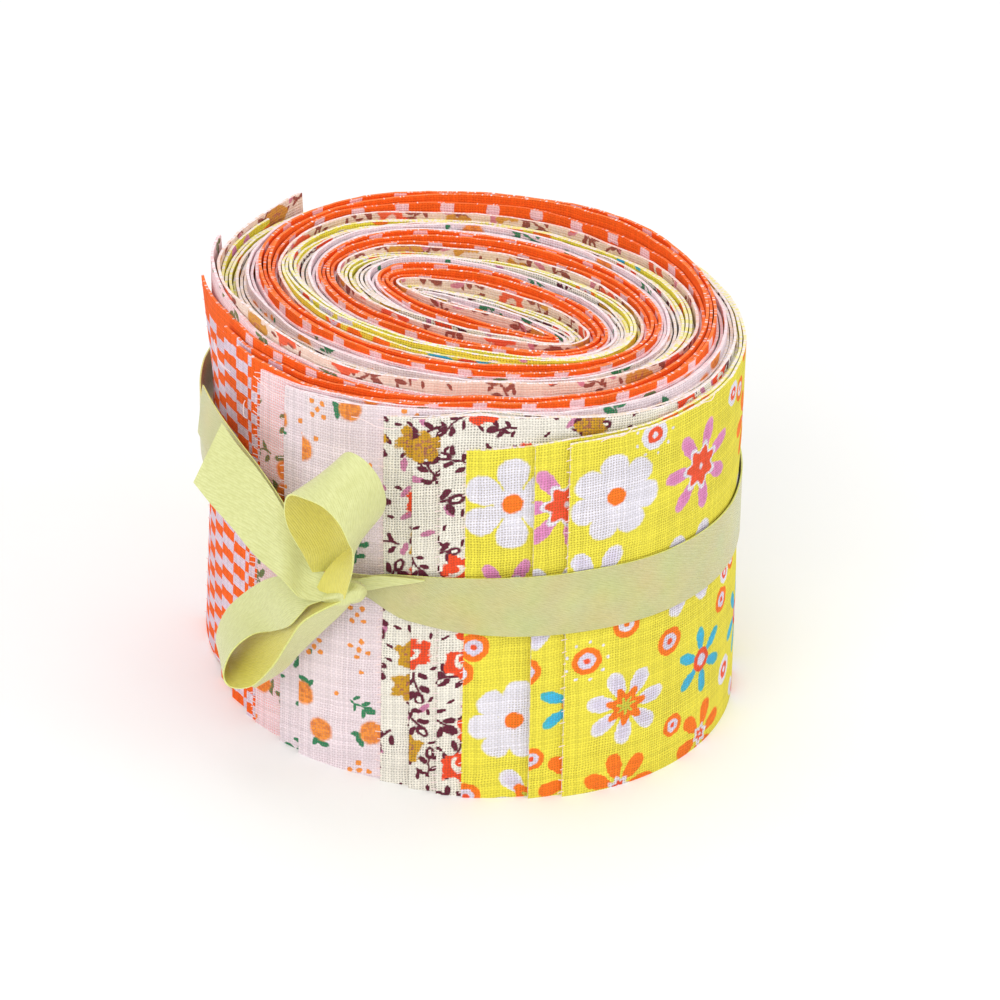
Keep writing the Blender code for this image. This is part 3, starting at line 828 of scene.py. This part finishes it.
def daisy_print(cloth, at, ground):
    """Yellow, with six kinds of daisies and rings between them."""
    ground = cloth.mix(cloth.noise(at, 0.09), ground, shaded(ground, GROUND_SHADE))
    colour = add_rings(cloth, at, ground)
    middle, chances, size = daisy_middles(cloth, at)
    kind = chances[0]
    shape = cloth.pick(kind, *((d.half_width, d.size, d.star) for d in DAISIES))
    half_width, scale, star = cloth.chances(shape)
    hearts = cloth.pick(kind, *((d.ring_at, d.heart_at, d.dot_at) for d in DAISIES))
    ring_at, heart_at, dot_at = cloth.chances(hearts)
    own = cloth.vector("SUBTRACT", at, middle)
    share = cloth.maths("DIVIDE", cloth.length(own), cloth.maths("MULTIPLY", size, scale))
    x, y = cloth.split(own)
    angle = cloth.maths("MULTIPLY_ADD", chances[1], 2.0 * math.pi, cloth.maths("ARCTAN2", y, x))
    petals = cloth.maths("ADD", cloth.maths("GREATER_THAN", chances[2], 0.7), 6.0)
    half = cloth.maths("DIVIDE", math.pi, petals)
    angle = cloth.maths("WRAP", angle, half, cloth.maths("MULTIPLY", half, -1.0))
    out = cloth.maths("MULTIPLY", share, cloth.maths("COSINE", angle))
    aside = cloth.maths("MULTIPLY", share, cloth.maths("SINE", angle))
    width = cloth.maths("MULTIPLY", half_width, cloth.maths("MULTIPLY_ADD", out, 0.8, 0.52))
    petal = cloth.place(cloth.maths("MULTIPLY_ADD", out, 1.0 / 0.39, -0.61 / 0.39),
                        cloth.maths("DIVIDE", aside, width))
    depth = cloth.length(petal)
    petal_colour = cloth.pick(kind, *(d.petal for d in DAISIES))
    rim_colour = cloth.pick(kind, *(d.petal_rim for d in DAISIES))
    colour = cloth.mix(cloth.inside(depth, 1.0, 0.06), colour, rim_colour)
    colour = cloth.mix(cloth.inside(depth, 0.72, 0.2), colour, petal_colour)
    wave = cloth.maths("COSINE", cloth.maths("MULTIPLY", angle, petals))
    spread = cloth.maths("MULTIPLY", wave, star)
    for edge, reach, colours in ((ring_at, 1.0, [d.ring for d in DAISIES]),
                                 (heart_at, 0.7, [d.heart for d in DAISIES]),
                                 (dot_at, 0.0, [d.dot for d in DAISIES])):
        edge = cloth.maths("MULTIPLY_ADD", spread, reach, edge)
        colour = cloth.mix(cloth.inside(share, edge, 0.02), colour, cloth.pick(kind, *colours))
    return colour


def sprig_motif(cloth, at, middle, chance, size):
    """A turned sprig: where its stem and leaves are, and where its open leaf's eye is."""
    own = cloth.turned(cloth.vector("SUBTRACT", at, middle), chance)
    own = cloth.scaled(own, cloth.maths("DIVIDE", 1.0, size))
    x, y = cloth.split(own)
    lean = cloth.maths("MULTIPLY_ADD", cloth.maths("SIGN", y), 0.14, x)
    pair = cloth.place(lean, cloth.maths("ABSOLUTE", y))
    bend = cloth.maths("MULTIPLY", cloth.maths("SINE", cloth.maths("MULTIPLY", x, 2.6)), 0.12)
    stem = cloth.inside(cloth.maths("ABSOLUTE", cloth.maths("SUBTRACT", y, bend)), 0.07, 0.03)
    stem = cloth.both(stem, cloth.inside(cloth.maths("ABSOLUTE", x), 0.86, 0.03))
    leaves = cloth.either(stem, cloth.oval(pair, 0.34, 0.38, 0.34, 0.17, 55.0),
                          cloth.oval(pair, -0.42, 0.34, 0.30, 0.14, 60.0),
                          cloth.oval(own, 0.70, 0.10, 0.44, 0.27, 18.0))
    return leaves, cloth.oval(own, 0.74, 0.11, 0.20, 0.11, 18.0)


def add_dashes(cloth, at, ground, colour, spacing, share):
    """Short dashes at every turn."""
    middle, chances, free = cloth.scatter(at, spacing, 0.8)
    own = cloth.turned(cloth.vector("SUBTRACT", at, middle), chances[0])
    dash = cloth.oval(own, 0.0, 0.0, 0.24 * spacing, 0.10 * spacing)
    shown = cloth.maths("LESS_THAN", chances[1], share)
    return cloth.mix(cloth.both(dash, shown), ground, colour)


def sprig_print(cloth, at, ground):
    """Cream, with maroon sprigs, poppies and mustard flowers."""
    ground = cloth.mix(cloth.noise(at, 0.09), ground, shaded(ground, GROUND_SHADE))
    colour = add_dashes(cloth, at, ground, MAROON, 2.9, 0.42)
    colour = add_dashes(cloth, cloth.vector("ADD", at, (31.0, 17.0, 0.0)), colour, MAUVE, 5.3, 0.4)
    middle, chances, free = cloth.scatter(at, 7.7, 0.5)
    size = cloth.maths("MINIMUM", cloth.maths("MULTIPLY", free, 0.98), 3.5)
    leaves, eye = sprig_motif(cloth, at, middle, chances[0], size)
    shown = cloth.maths("LESS_THAN", chances[1], 0.8)
    colour = cloth.mix(cloth.both(leaves, shown), colour, MAROON)
    open_leaf = cloth.both(eye, shown, cloth.maths("LESS_THAN", chances[2], 0.6))
    colour = cloth.mix(open_leaf, colour, CREAM)
    middle, chances, free = cloth.scatter(cloth.vector("ADD", at, (7.0, 53.0, 0.0)), 9.6, 0.6)
    middle = cloth.vector("SUBTRACT", middle, (7.0, 53.0, 0.0))
    own = cloth.turned(cloth.vector("SUBTRACT", at, middle), chances[1])
    size = cloth.maths("MINIMUM", free, 3.1)
    own = cloth.scaled(own, cloth.maths("DIVIDE", 1.0, size))
    share = cloth.length(own)
    x, y = cloth.split(own)
    lobes = cloth.maths("COSINE", cloth.maths("MULTIPLY", cloth.maths("ARCTAN2", y, x), 5.0))
    edge = cloth.maths("MULTIPLY_ADD", lobes, 0.13, 0.84)
    edge = cloth.maths("MULTIPLY_ADD", cloth.noise(at, 0.9), 0.5, cloth.maths("SUBTRACT", edge, 0.25))
    shown = cloth.maths("LESS_THAN", chances[0], 0.8)
    flower = cloth.both(cloth.inside(share, edge, 0.05), shown)
    colour = cloth.mix(flower, colour, cloth.pick(chances[0], POPPY, MUSTARD, POPPY, MUSTARD, CREAM))
    speckle = cloth.both(cloth.between(cloth.noise(at, 1.5), 0.5, 0.6), cloth.inside(share, 0.55, 0.2))
    mustard = cloth.pick(chances[0], *((k, k, k) for k in (0.0, 1.0, 0.0, 1.0, 0.0)))
    colour = cloth.mix(cloth.both(speckle, mustard), colour, MUSTARD_DEEP)
    slit = cloth.maths("SUBTRACT", cloth.oval(own, 0.12, 0.05, 0.46, 0.28, 30.0),
                       cloth.oval(own, 0.26, -0.02, 0.28, 0.20, 30.0), clamp=True)
    poppy = cloth.pick(chances[0], *((k, k, k) for k in (1.0, 0.0, 1.0, 0.0, 0.0)))
    return cloth.mix(cloth.both(slit, poppy), colour, CREAM)


def fruit_print(cloth, at, ground):
    """Pinkish white, with orange fruits, green sprigs and dots far apart."""
    ground = cloth.mix(cloth.noise(at, 0.09), ground, shaded(ground, GROUND_SHADE))
    middle, chances, free = cloth.scatter(cloth.vector("ADD", at, (3.0, 9.0, 0.0)), 4.6, 0.9)
    middle = cloth.vector("SUBTRACT", middle, (3.0, 9.0, 0.0))
    spot = cloth.inside(cloth.length(cloth.vector("SUBTRACT", at, middle)), 0.45)
    spot = cloth.both(spot, cloth.maths("LESS_THAN", chances[0], 0.3))
    colour = cloth.mix(spot, ground, cloth.pick(chances[1], FRUIT, FRUIT, LEAF))
    middle, chances, free = cloth.scatter(at, 8.4, 0.6)
    size = cloth.maths("MINIMUM", cloth.maths("MULTIPLY", free, 0.95), 3.2)
    leaves, eye = sprig_motif(cloth, at, middle, chances[1], size)
    shown = cloth.pick(chances[0], *((k, k, k) for k in (0.0, 1.0, 0.0, 1.0, 0.0)))
    colour = cloth.mix(cloth.both(leaves, shown), colour, LEAF)
    own = cloth.turned(cloth.vector("SUBTRACT", at, middle), chances[1])
    shown = cloth.pick(chances[0], *((k, k, k) for k in (1.0, 0.0, 0.0, 0.0, 1.0)))
    leaf = cloth.either(cloth.oval(own, -2.0, 1.6, 1.3, 0.55, 35.0),
                        cloth.oval(own, -1.0, 2.3, 1.1, 0.5, 100.0))
    colour = cloth.mix(cloth.both(leaf, shown), colour, LEAF)
    fruit = cloth.both(cloth.oval(own, 0.0, 0.0, 2.2, 2.0), shown)
    flesh = cloth.mix(cloth.between(cloth.noise(at, 1.2), 0.45, 0.62), FRUIT, FRUIT_DEEP)
    colour = cloth.mix(fruit, colour, flesh)
    shown = cloth.pick(chances[0], *((k, k, k) for k in (0.0, 0.0, 1.0, 0.0, 0.0)))
    dots = cloth.either(*(cloth.oval(own, x, y, 0.5, 0.45)
                          for x, y in ((-1.7, 0.3), (0.1, 1.5), (1.6, -0.2), (-0.1, -1.4), (0.0, 0.1))))
    return cloth.mix(cloth.both(dots, shown), colour, FRUIT)


def check_print(cloth, at, ground):
    """Orange, with stacks of pale bars: short marks by the top edge further in."""
    x, y = cloth.split(at)
    column = cloth.maths("FLOOR", cloth.maths("DIVIDE", x, BAR_LENGTH))
    shift = cloth.maths("MULTIPLY", column, BAR_PERIOD / 2.0)
    row = cloth.maths("MODULO", cloth.maths("ADD", cloth.maths("ADD", y, shift), 400.0), BAR_PERIOD)
    bars = cloth.inside(row, BAR_PERIOD / 2.0)
    below = cloth.inside(y, cloth.between(x, BARS_TO, BARS_TO + 1.0, BARS_TOP, 56.5))
    bars = cloth.both(bars, below, cloth.between(x, -0.1, 0.1))
    mark = cloth.maths("PINGPONG", x, MARK_SPACING / 2.0)
    marks = cloth.both(cloth.inside(mark, MARK_LENGTH / 2.0), cloth.between(x, BARS_TO, BARS_TO + 1.0),
                       cloth.between(y, MARKS_FROM - 0.1, MARKS_FROM + 0.1))
    ground = cloth.mix(cloth.noise(at, 0.15), ground, shaded(ground, GROUND_SHADE))
    return cloth.mix(marks, cloth.mix(bars, ground, BAR), MARK)


PRINTERS = {"daisy": daisy_print, "sprig": sprig_print, "fruit": fruit_print, "check": check_print}


def weave(cloth, at):
    """Plain weave: how bright the threads are, with painted light and shade in a checker where they cross,
    how high they stand, and where the gaps are.
    """
    wander = cloth.vector("SUBTRACT", cloth.noise(at, 0.3, kind="Color"), (0.5, 0.5, 0.5))
    at = cloth.vector("ADD", at, cloth.scaled(wander, 0.5))
    warp_at, weft_at = cloth.split(cloth.scaled(at, 1.0 / THREAD_SPACING))
    warp = cloth.maths("SINE", cloth.maths("MULTIPLY", warp_at, math.pi))
    weft = cloth.maths("SINE", cloth.maths("MULTIPLY", weft_at, math.pi))
    over = cloth.maths("MULTIPLY", warp, weft)
    warp = cloth.maths("ABSOLUTE", warp)
    weft = cloth.maths("ABSOLUTE", weft)
    gap = cloth.both(cloth.maths("SUBTRACT", 1.0, warp), cloth.maths("SUBTRACT", 1.0, weft))
    patches = cloth.between(cloth.noise(at, 0.13), 0.35, 0.62, 0.45, 1.0)
    hole = cloth.both(cloth.between(gap, 0.06, 0.36), patches)
    tones = [cloth.node("TexWhiteNoise", {"W": cloth.maths("FLOOR", value)},
                        noise_dimensions="1D").outputs["Value"] for value in (warp_at, weft_at)]
    thread_tone_and_shade = cloth.maths("MULTIPLY_ADD", cloth.maths("ADD", *tones), 0.13, 0.90)
    # Painted light and shade: crossings in a checker are made up to 5 % lighter and darker, as light would
    # fall on the threads' relief
    thread_tone_and_shade = cloth.maths("MULTIPLY_ADD", over, 0.05, thread_tone_and_shade)
    height = cloth.maths("SUBTRACT", cloth.maths("ADD", warp, weft), hole)
    return thread_tone_and_shade, height, hole


def cotton(name, colours):
    """The printed face of a strip, with painted shade mixed into its gaps and threads, and for fruit_pink
    and sprig_peach an orange and a peach tint instead.
    """
    row = COTTONS[name]
    cloth = ClothNodes("cotton_" + name)
    ground = tuple(getattr(colours, row.ground))
    colour = PRINTERS[row.print](cloth, print_place(cloth), ground)
    thread_tone_and_shade, height, hole = weave(cloth, cloth.uv("Flat"))
    colour = cloth.scaled(colour, thread_tone_and_shade)
    # Painted shade: the gaps, and more faintly the threads, are mixed towards the dark colour of the shaded
    # layers behind; fruit_pink and sprig_peach get the orange strip behind and a peach tint instead
    through = cloth.maths("MULTIPLY_ADD", hole, row.gaps - row.tint, row.tint)
    cloth.feed(cloth.shader.inputs["Base Color"], cloth.mix(through, colour, row.behind))
    cloth.feed(cloth.shader.inputs["Roughness"], cloth.between(height, 0.0, 2.0, 0.95, 0.82))
    cloth.shader.inputs["Specular IOR Level"].default_value = 0.25
    bump = cloth.node("Bump", {"Strength": 0.5, "Distance": 0.00012, "Height": height})
    cloth.feed(cloth.shader.inputs["Normal"], bump.outputs[0])
    return cloth.material


def cut_edge(name):
    """The cut edge of a strip: pale thread ends, tinted by the print."""
    cloth = ClothNodes("cut_edge_" + name)
    at = cloth.uv("Flat")
    ends = cloth.noise(cloth.vector("MULTIPLY", at, (1.0, 0.4, 1.0)), 2.2, 3.0)
    pale = (0.56, 0.74) if name == "check" else (0.38, 0.62)
    colour = cloth.mix(cloth.between(ends, *pale), COTTONS[name].edge, EDGE_WHITE)
    cloth.feed(cloth.shader.inputs["Base Color"], colour)
    cloth.feed(cloth.shader.inputs["Roughness"], cloth.between(ends, 0.3, 0.7, 0.98, 0.85))
    cloth.shader.inputs["Specular IOR Level"].default_value = 0.2
    bump = cloth.node("Bump", {"Strength": 0.8, "Distance": 0.0002, "Height": ends})
    cloth.feed(cloth.shader.inputs["Normal"], bump.outputs[0])
    return cloth.material


def satin(name, light, show_through=0.0):
    """Satin ribbon: fine slanting floats in rows, with a sheen."""
    cloth = ClothNodes(name)
    at = cloth.uv("Flat")
    slanted = cloth.node("Mapping", {"Vector": at, "Rotation": (0.0, 0.0, FLOAT_SLANT)}).outputs[0]
    floats = cloth.noise(cloth.vector("MULTIPLY", slanted, (0.8, 2.6, 1.0)), 1.0, 1.0)
    along, across = cloth.split(slanted)
    turns = cloth.maths("MULTIPLY_ADD", across, 2.0 * math.pi / FLOAT_SPACING,
                        cloth.maths("MULTIPLY", floats, 5.0))
    rows = cloth.maths("MULTIPLY_ADD", cloth.maths("SINE", turns), 0.5, 0.5)
    share = cloth.maths("MULTIPLY_ADD", cloth.noise(at, 0.12), 0.5,
                        cloth.between(floats, 0.25, 0.75, -0.05, 0.35))
    share = cloth.maths("MULTIPLY_ADD", rows, 0.5, share, clamp=True)
    colour = cloth.mix(share, shaded(light, SATIN_SHADE), light)
    if show_through:
        behind = cloth.noise(at, 0.16, 1.0, kind="Color")
        tint = cloth.vector("MULTIPLY", behind, (1.2, 0.9, 0.7))
        colour = cloth.mix(show_through, colour, tint)
    cloth.feed(cloth.shader.inputs["Base Color"], colour)
    cloth.feed(cloth.shader.inputs["Roughness"], cloth.between(rows, 0.0, 1.0, 0.42, 0.27))
    cloth.shader.inputs["Specular IOR Level"].default_value = 0.6
    cloth.shader.inputs["Sheen Weight"].default_value = 0.2
    cloth.shader.inputs["Sheen Roughness"].default_value = 0.4
    bump = cloth.node("Bump", {"Strength": 0.4, "Distance": 0.0001, "Height": rows})
    cloth.feed(cloth.shader.inputs["Normal"], bump.outputs[0])
    return cloth.material


def floor_material(colour):
    """Matt white paper."""
    cloth = ClothNodes("floor")
    at = cloth.node("TexCoord").outputs["Object"]
    grain = cloth.noise(at, 40.0)
    cloth.feed(cloth.shader.inputs["Base Color"],
               cloth.mix(grain, colour, [0.98 * value for value in colour]))
    cloth.feed(cloth.shader.inputs["Roughness"], cloth.between(grain, 0.2, 0.8, 0.85, 0.95))
    return cloth.material


STANDS_FOR = {"strip_check_4": ("roll", "flap_check"), "strip_fruit_4": ("roll", "flap_sprig"),
              "strip_sprig_4": ("roll", "flap_cream")}


def thread_material():
    """Loose cotton threads."""
    cloth = ClothNodes("cotton_thread")
    at = cloth.node("TexCoord").outputs["Object"]
    fibre = cloth.noise(at, 900.0, 3.0)
    cloth.feed(cloth.shader.inputs["Base Color"], cloth.mix(fibre, THREAD_DEEP, EDGE_WHITE))
    cloth.feed(cloth.shader.inputs["Roughness"], cloth.between(fibre, 0.3, 0.7, 0.98, 0.85))
    cloth.shader.inputs["Specular IOR Level"].default_value = 0.2
    return cloth.material


def frayed_end(index, grid):
    """Threads that stand out of a strip's cut end, each as its places from root to tip."""
    strip = STRIPS[index]
    fray = FRAYS.get(strip.name)
    if not fray:
        return []
    draw = np.random.RandomState(200 + index)
    rows = grid[0]
    out = grid[0] - grid[2]
    out = out / np.linalg.norm(out, axis=1)[:, None]
    threads = []
    for z in np.arange(rows[0, 2] + 1.0, rows[-1, 2] - 0.3, fray.spacing):
        start = np.array([np.interp(z, rows[:, 2], rows[:, k]) for k in range(3)])
        way = np.array([np.interp(z, rows[:, 2], out[:, k]) for k in range(3)])
        away = np.array((-way[1], way[0], 0.0))
        away = away * (1.0 if away @ start > 0.0 else -1.0)
        length = fray.length * (0.35 + 0.65 * draw.rand())
        lift, drop = 0.35 * draw.rand(), 0.5 * draw.randn() * length * 0.3
        threads.append([start + way * length * t + away * (0.25 + lift * t) + (0.0, 0.0, drop * t * t)
                        for t in (-0.3, 0.0, 0.5, 1.0)])
    return threads


def stray_thread(row):
    """A longer loose thread that lies over the strips, as its places from end to end."""
    ends = [off_wall(row.angle_1, row.off_1, row.z_1), off_wall(row.angle_2, row.off_2, row.z_2)]
    shares = np.linspace(0.0, 1.0, 9)
    return [ends[0] * (1.0 - t) + ends[1] * t + off_wall(row.angle_1, 0.0, 0.0) / HALF_LENGTH
            * row.bow * math.sin(math.pi * t) + (0.0, 0.0, 0.3 * math.sin(7.0 * t)) for t in shares]


def thread_piece(threads, material):
    """Thin round threads through lists of places, as one mesh."""
    verts, faces = [], []
    for places in threads:
        places = np.array(places)
        ways = np.gradient(places, axis=0)
        for place, way in zip(places, ways):
            way = Vector(way).normalized()
            side = way.cross(Vector((0.0, 0.0, 1.0) if abs(way.z) < 0.9 else (1.0, 0.0, 0.0)))
            side.normalize()
            up = side.cross(way)
            for k in range(THREAD_SIDES):
                turn = 2.0 * math.pi * k / THREAD_SIDES
                spoke = side * math.cos(turn) + up * math.sin(turn)
                verts.append((Vector(place) + THREAD_RADIUS * spoke) * MM)
        first = len(verts) - len(places) * THREAD_SIDES
        for i in range(len(places) - 1):
            for k in range(THREAD_SIDES):
                a, b = first + i * THREAD_SIDES + k, first + i * THREAD_SIDES + (k + 1) % THREAD_SIDES
                faces.append((a, b, b + THREAD_SIDES, a + THREAD_SIDES))
        faces.append(tuple(first + k for k in reversed(range(THREAD_SIDES))))
        faces.append(tuple(len(verts) - THREAD_SIDES + k for k in range(THREAD_SIDES)))
    mesh = bpy.data.meshes.new("cotton_threads")
    mesh.from_pydata(verts, [], faces)
    bm = bmesh.new()
    bm.from_mesh(mesh)
    bmesh.ops.recalc_face_normals(bm, faces=bm.faces)
    bm.to_mesh(mesh)
    bm.free()
    mesh.materials.append(material)
    obj = bpy.data.objects.new("cotton_threads", mesh)
    bpy.context.scene.collection.objects.link(obj)
    return obj


def knot_piece(material):
    """The knot: ribbon pulled tight round itself, in folds that run across it."""
    count_along, count_round = 40, 56
    turn = Matrix.Rotation(KNOT_TURN, 3, "Z") @ Matrix.Rotation(KNOT_TILT, 3, "Y")
    grid = []
    for i in range(count_along + 1):
        along = math.pi * i / count_along
        ring = []
        for j in range(count_round + 1):
            round_it = 2.0 * math.pi * j / count_round
            fold = 1.0 + 0.13 * math.sin(6.0 * round_it + 2.6 * math.cos(along)) * math.sin(along)
            waist = math.sin(along) ** 0.7 * fold
            local = Vector((-math.cos(along) * KNOT_HALF[0], -math.cos(round_it) * KNOT_HALF[1] * waist,
                            math.sin(round_it) * KNOT_HALF[2] * waist))
            ring.append(tuple(Vector(KNOT_AT) + turn @ local))
        grid.append(ring)
    grid = np.array(grid)
    along, across = flat_lengths(grid)
    name = "satin_knot"
    mesh = bpy.data.meshes.new(name)
    columns = count_round + 1
    faces = []
    for i in range(count_along):
        for j in range(count_round):
            a = i * columns + j
            faces.append((a, a + columns, a + columns + 1, a + 1))
    mesh.from_pydata((grid.reshape(-1, 3) * MM).tolist(), [], faces)
    layer = mesh.uv_layers.new(name="Flat")
    corners = np.empty(len(mesh.loops), dtype=np.int32)
    mesh.loops.foreach_get("vertex_index", corners)
    flat = np.stack((across, along), axis=-1).reshape(-1, 2) * MM
    layer.data.foreach_set("uv", flat[corners].astype(np.float32).ravel())
    mesh.materials.append(material)
    obj = bpy.data.objects.new(name, mesh)
    bpy.context.scene.collection.objects.link(obj)
    bm = bmesh.new()
    bm.from_mesh(mesh)
    bmesh.ops.remove_doubles(bm, verts=bm.verts, dist=0.00002)
    bmesh.ops.recalc_face_normals(bm, faces=bm.faces)
    bm.to_mesh(mesh)
    bm.free()
    mesh.shade_smooth()
    return obj


class FABRICROLL_OT_cotton_strips(bpy.types.Operator):
    """Winds the sixteen printed cotton strips"""

    bl_idname = "fabric_roll.cotton_strips"
    bl_label = "Cotton Strips"

    def execute(self, context):
        thickness = context.scene.fabric_roll_cloth.cotton_thickness
        colours = context.scene.fabric_roll_colours
        materials = {name: (cotton(name, colours), cut_edge(name)) for name in COTTONS}
        threads = []
        for index, strip in enumerate(STRIPS):
            grid, along = strip_grid(index)
            across = STRIP_HEIGHT - grid[:, -1:, 2] + grid[:, :, 2]
            piece = grid_piece(strip.name, grid, along[:, None], across, materials[strip.cotton],
                               thickness, (strip.along, strip.across))
            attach(piece, "root")
            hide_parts(*STANDS_FOR.get(strip.name, ("roll",)))
            threads += frayed_end(index, grid)
        threads += [stray_thread(row) for row in STRAYS]
        piece = thread_piece(threads, thread_material())
        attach(piece, "root")
        return {"FINISHED"}


class FABRICROLL_OT_ribbon(bpy.types.Operator):
    """Ties the ribbon: its turn round the roll, its knot, loops and ends"""

    bl_idname = "fabric_roll.ribbon"
    bl_label = "Ribbon"

    def execute(self, context):
        thickness = context.scene.fabric_roll_cloth.ribbon_thickness
        colours = context.scene.fabric_roll_colours
        ribbon = tuple(colours.ribbon)
        # Painted highlight: the cut edges get a lighter, yellower copy of the ribbon's colour
        edge = satin("satin_edge", shaded(ribbon, EDGE_SHINE))
        face = satin("satin_face", ribbon)
        # Painted shade: the band round the roll and the back tail get a darker copy of the ribbon's colour,
        # with faint coloured blotches of the prints showing through
        band = satin("satin_band", shaded(ribbon, BAND_SHADE), 0.10)
        inside = satin("satin_inside", tuple(colours.ribbon_inside))
        pieces = {
            "fold": (band_grid(FOLD), (face, edge)),
            "crease": (section_grid(LOOP_CREASE), (face, edge)),
            "band": (band_grid(BAND), (band, edge)),
            "loop_upper": (section_grid(LOOP_UPPER), (face, edge, inside)),
            "loop_lower": (section_grid(LOOP_LOWER), (inside, edge, face)),
            "tail_front": (section_grid(TAIL_FRONT), (face, edge)),
            "tail_back": (section_grid(TAIL_BACK), (band, edge)),
        }
        for name, (places, materials) in pieces.items():
            along, across = flat_lengths(places)
            piece = grid_piece("satin_" + name, places, along, across, materials, thickness)
            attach(piece, "root")
            if name in ("fold", "crease"):
                continue
            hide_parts("ribbon_" + name)
        knot = knot_piece(face)
        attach(knot, "root")
        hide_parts("ribbon_knot")
        return {"FINISHED"}


class FABRICROLL_OT_stage(bpy.types.Operator):
    """Sets the floor, the lights and the camera"""

    bl_idname = "fabric_roll.stage"
    bl_label = "Stage"

    def execute(self, context):
        scene = context.scene
        stage = scene.fabric_roll_stage
        bpy.ops.object.select_all(action="DESELECT")
        bpy.ops.mesh.primitive_plane_add(size=stage.floor_size, location=(0.0, 0.0, 0.0))
        floor = context.active_object
        floor.name = "floor"
        floor.data.materials.append(floor_material(list(stage.floor_colour)))
        world = bpy.data.worlds.new("studio")
        scene.world = world
        world.use_nodes = True
        sky = world.node_tree.nodes["Background"]
        sky.inputs["Color"].default_value = (1.0, 1.0, 1.0, 1.0)
        sky.inputs["Strength"].default_value = stage.fill
        for lamp in SOFTBOXES:
            data = bpy.data.lights.new(lamp.name, "AREA")
            data.shape = "SQUARE"
            data.size = lamp.size
            data.energy = lamp.power
            light = bpy.data.objects.new(lamp.name, data)
            scene.collection.objects.link(light)
            light.location = (lamp.x, lamp.y, lamp.z)
            aim = Vector((0.0, 0.0, CAMERA_TARGET_Z)) - light.location
            light.rotation_euler = aim.to_track_quat("-Z", "Y").to_euler()
        scene.view_settings.view_transform = "Standard"
        data = bpy.data.cameras.new("camera")
        camera = bpy.data.objects.new("camera", data)
        scene.collection.objects.link(camera)
        data.lens = CAMERA_LENS
        data.sensor_width = CAMERA_SENSOR
        data.shift_x, data.shift_y = CAMERA_SHIFT
        data.clip_start = 0.05
        place = Matrix.Translation((0.0, -CAMERA_DISTANCE * math.cos(CAMERA_ELEVATION),
                                    CAMERA_TARGET_Z + CAMERA_DISTANCE * math.sin(CAMERA_ELEVATION)))
        turn = Matrix.Rotation(math.pi / 2.0 - CAMERA_ELEVATION, 4, "X")
        camera.matrix_world = place @ turn @ Matrix.Rotation(CAMERA_ROLL, 4, "Z")
        scene.camera = camera
        return {"FINISHED"}


class FABRICROLL_PT_panel(bpy.types.Panel):
    """Buttons that build the roll"""

    bl_idname = "FABRICROLL_PT_panel"
    bl_label = "Fabric Roll"
    bl_space_type = "VIEW_3D"
    bl_region_type = "UI"
    bl_category = "Fabric Roll"

    def draw(self, context):
        for operator in STEPS:
            self.layout.operator(operator.bl_idname)


STEPS = (
    FABRICROLL_OT_cotton_strips,
    FABRICROLL_OT_ribbon,
    FABRICROLL_OT_stage,
)
CLASSES = (FabricRollCloth, FabricRollColours, FabricRollStage, *STEPS, FABRICROLL_PT_panel)


def register():
    """Registers the classes and the scene's settings."""
    for cls in CLASSES:
        bpy.utils.register_class(cls)
    bpy.types.Scene.fabric_roll_cloth = PointerProperty(type=FabricRollCloth)
    bpy.types.Scene.fabric_roll_colours = PointerProperty(type=FabricRollColours)
    bpy.types.Scene.fabric_roll_stage = PointerProperty(type=FabricRollStage)


def unregister():
    """Removes the settings and the classes."""
    del bpy.types.Scene.fabric_roll_cloth
    del bpy.types.Scene.fabric_roll_colours
    del bpy.types.Scene.fabric_roll_stage
    for cls in reversed(CLASSES):
        bpy.utils.unregister_class(cls)


def main():
    """Builds the roll and its stage."""
    register()
    bpy.ops.fabric_roll.cotton_strips()
    bpy.ops.fabric_roll.ribbon()
    bpy.ops.fabric_roll.stage()


if __name__ == "__main__":
    main()
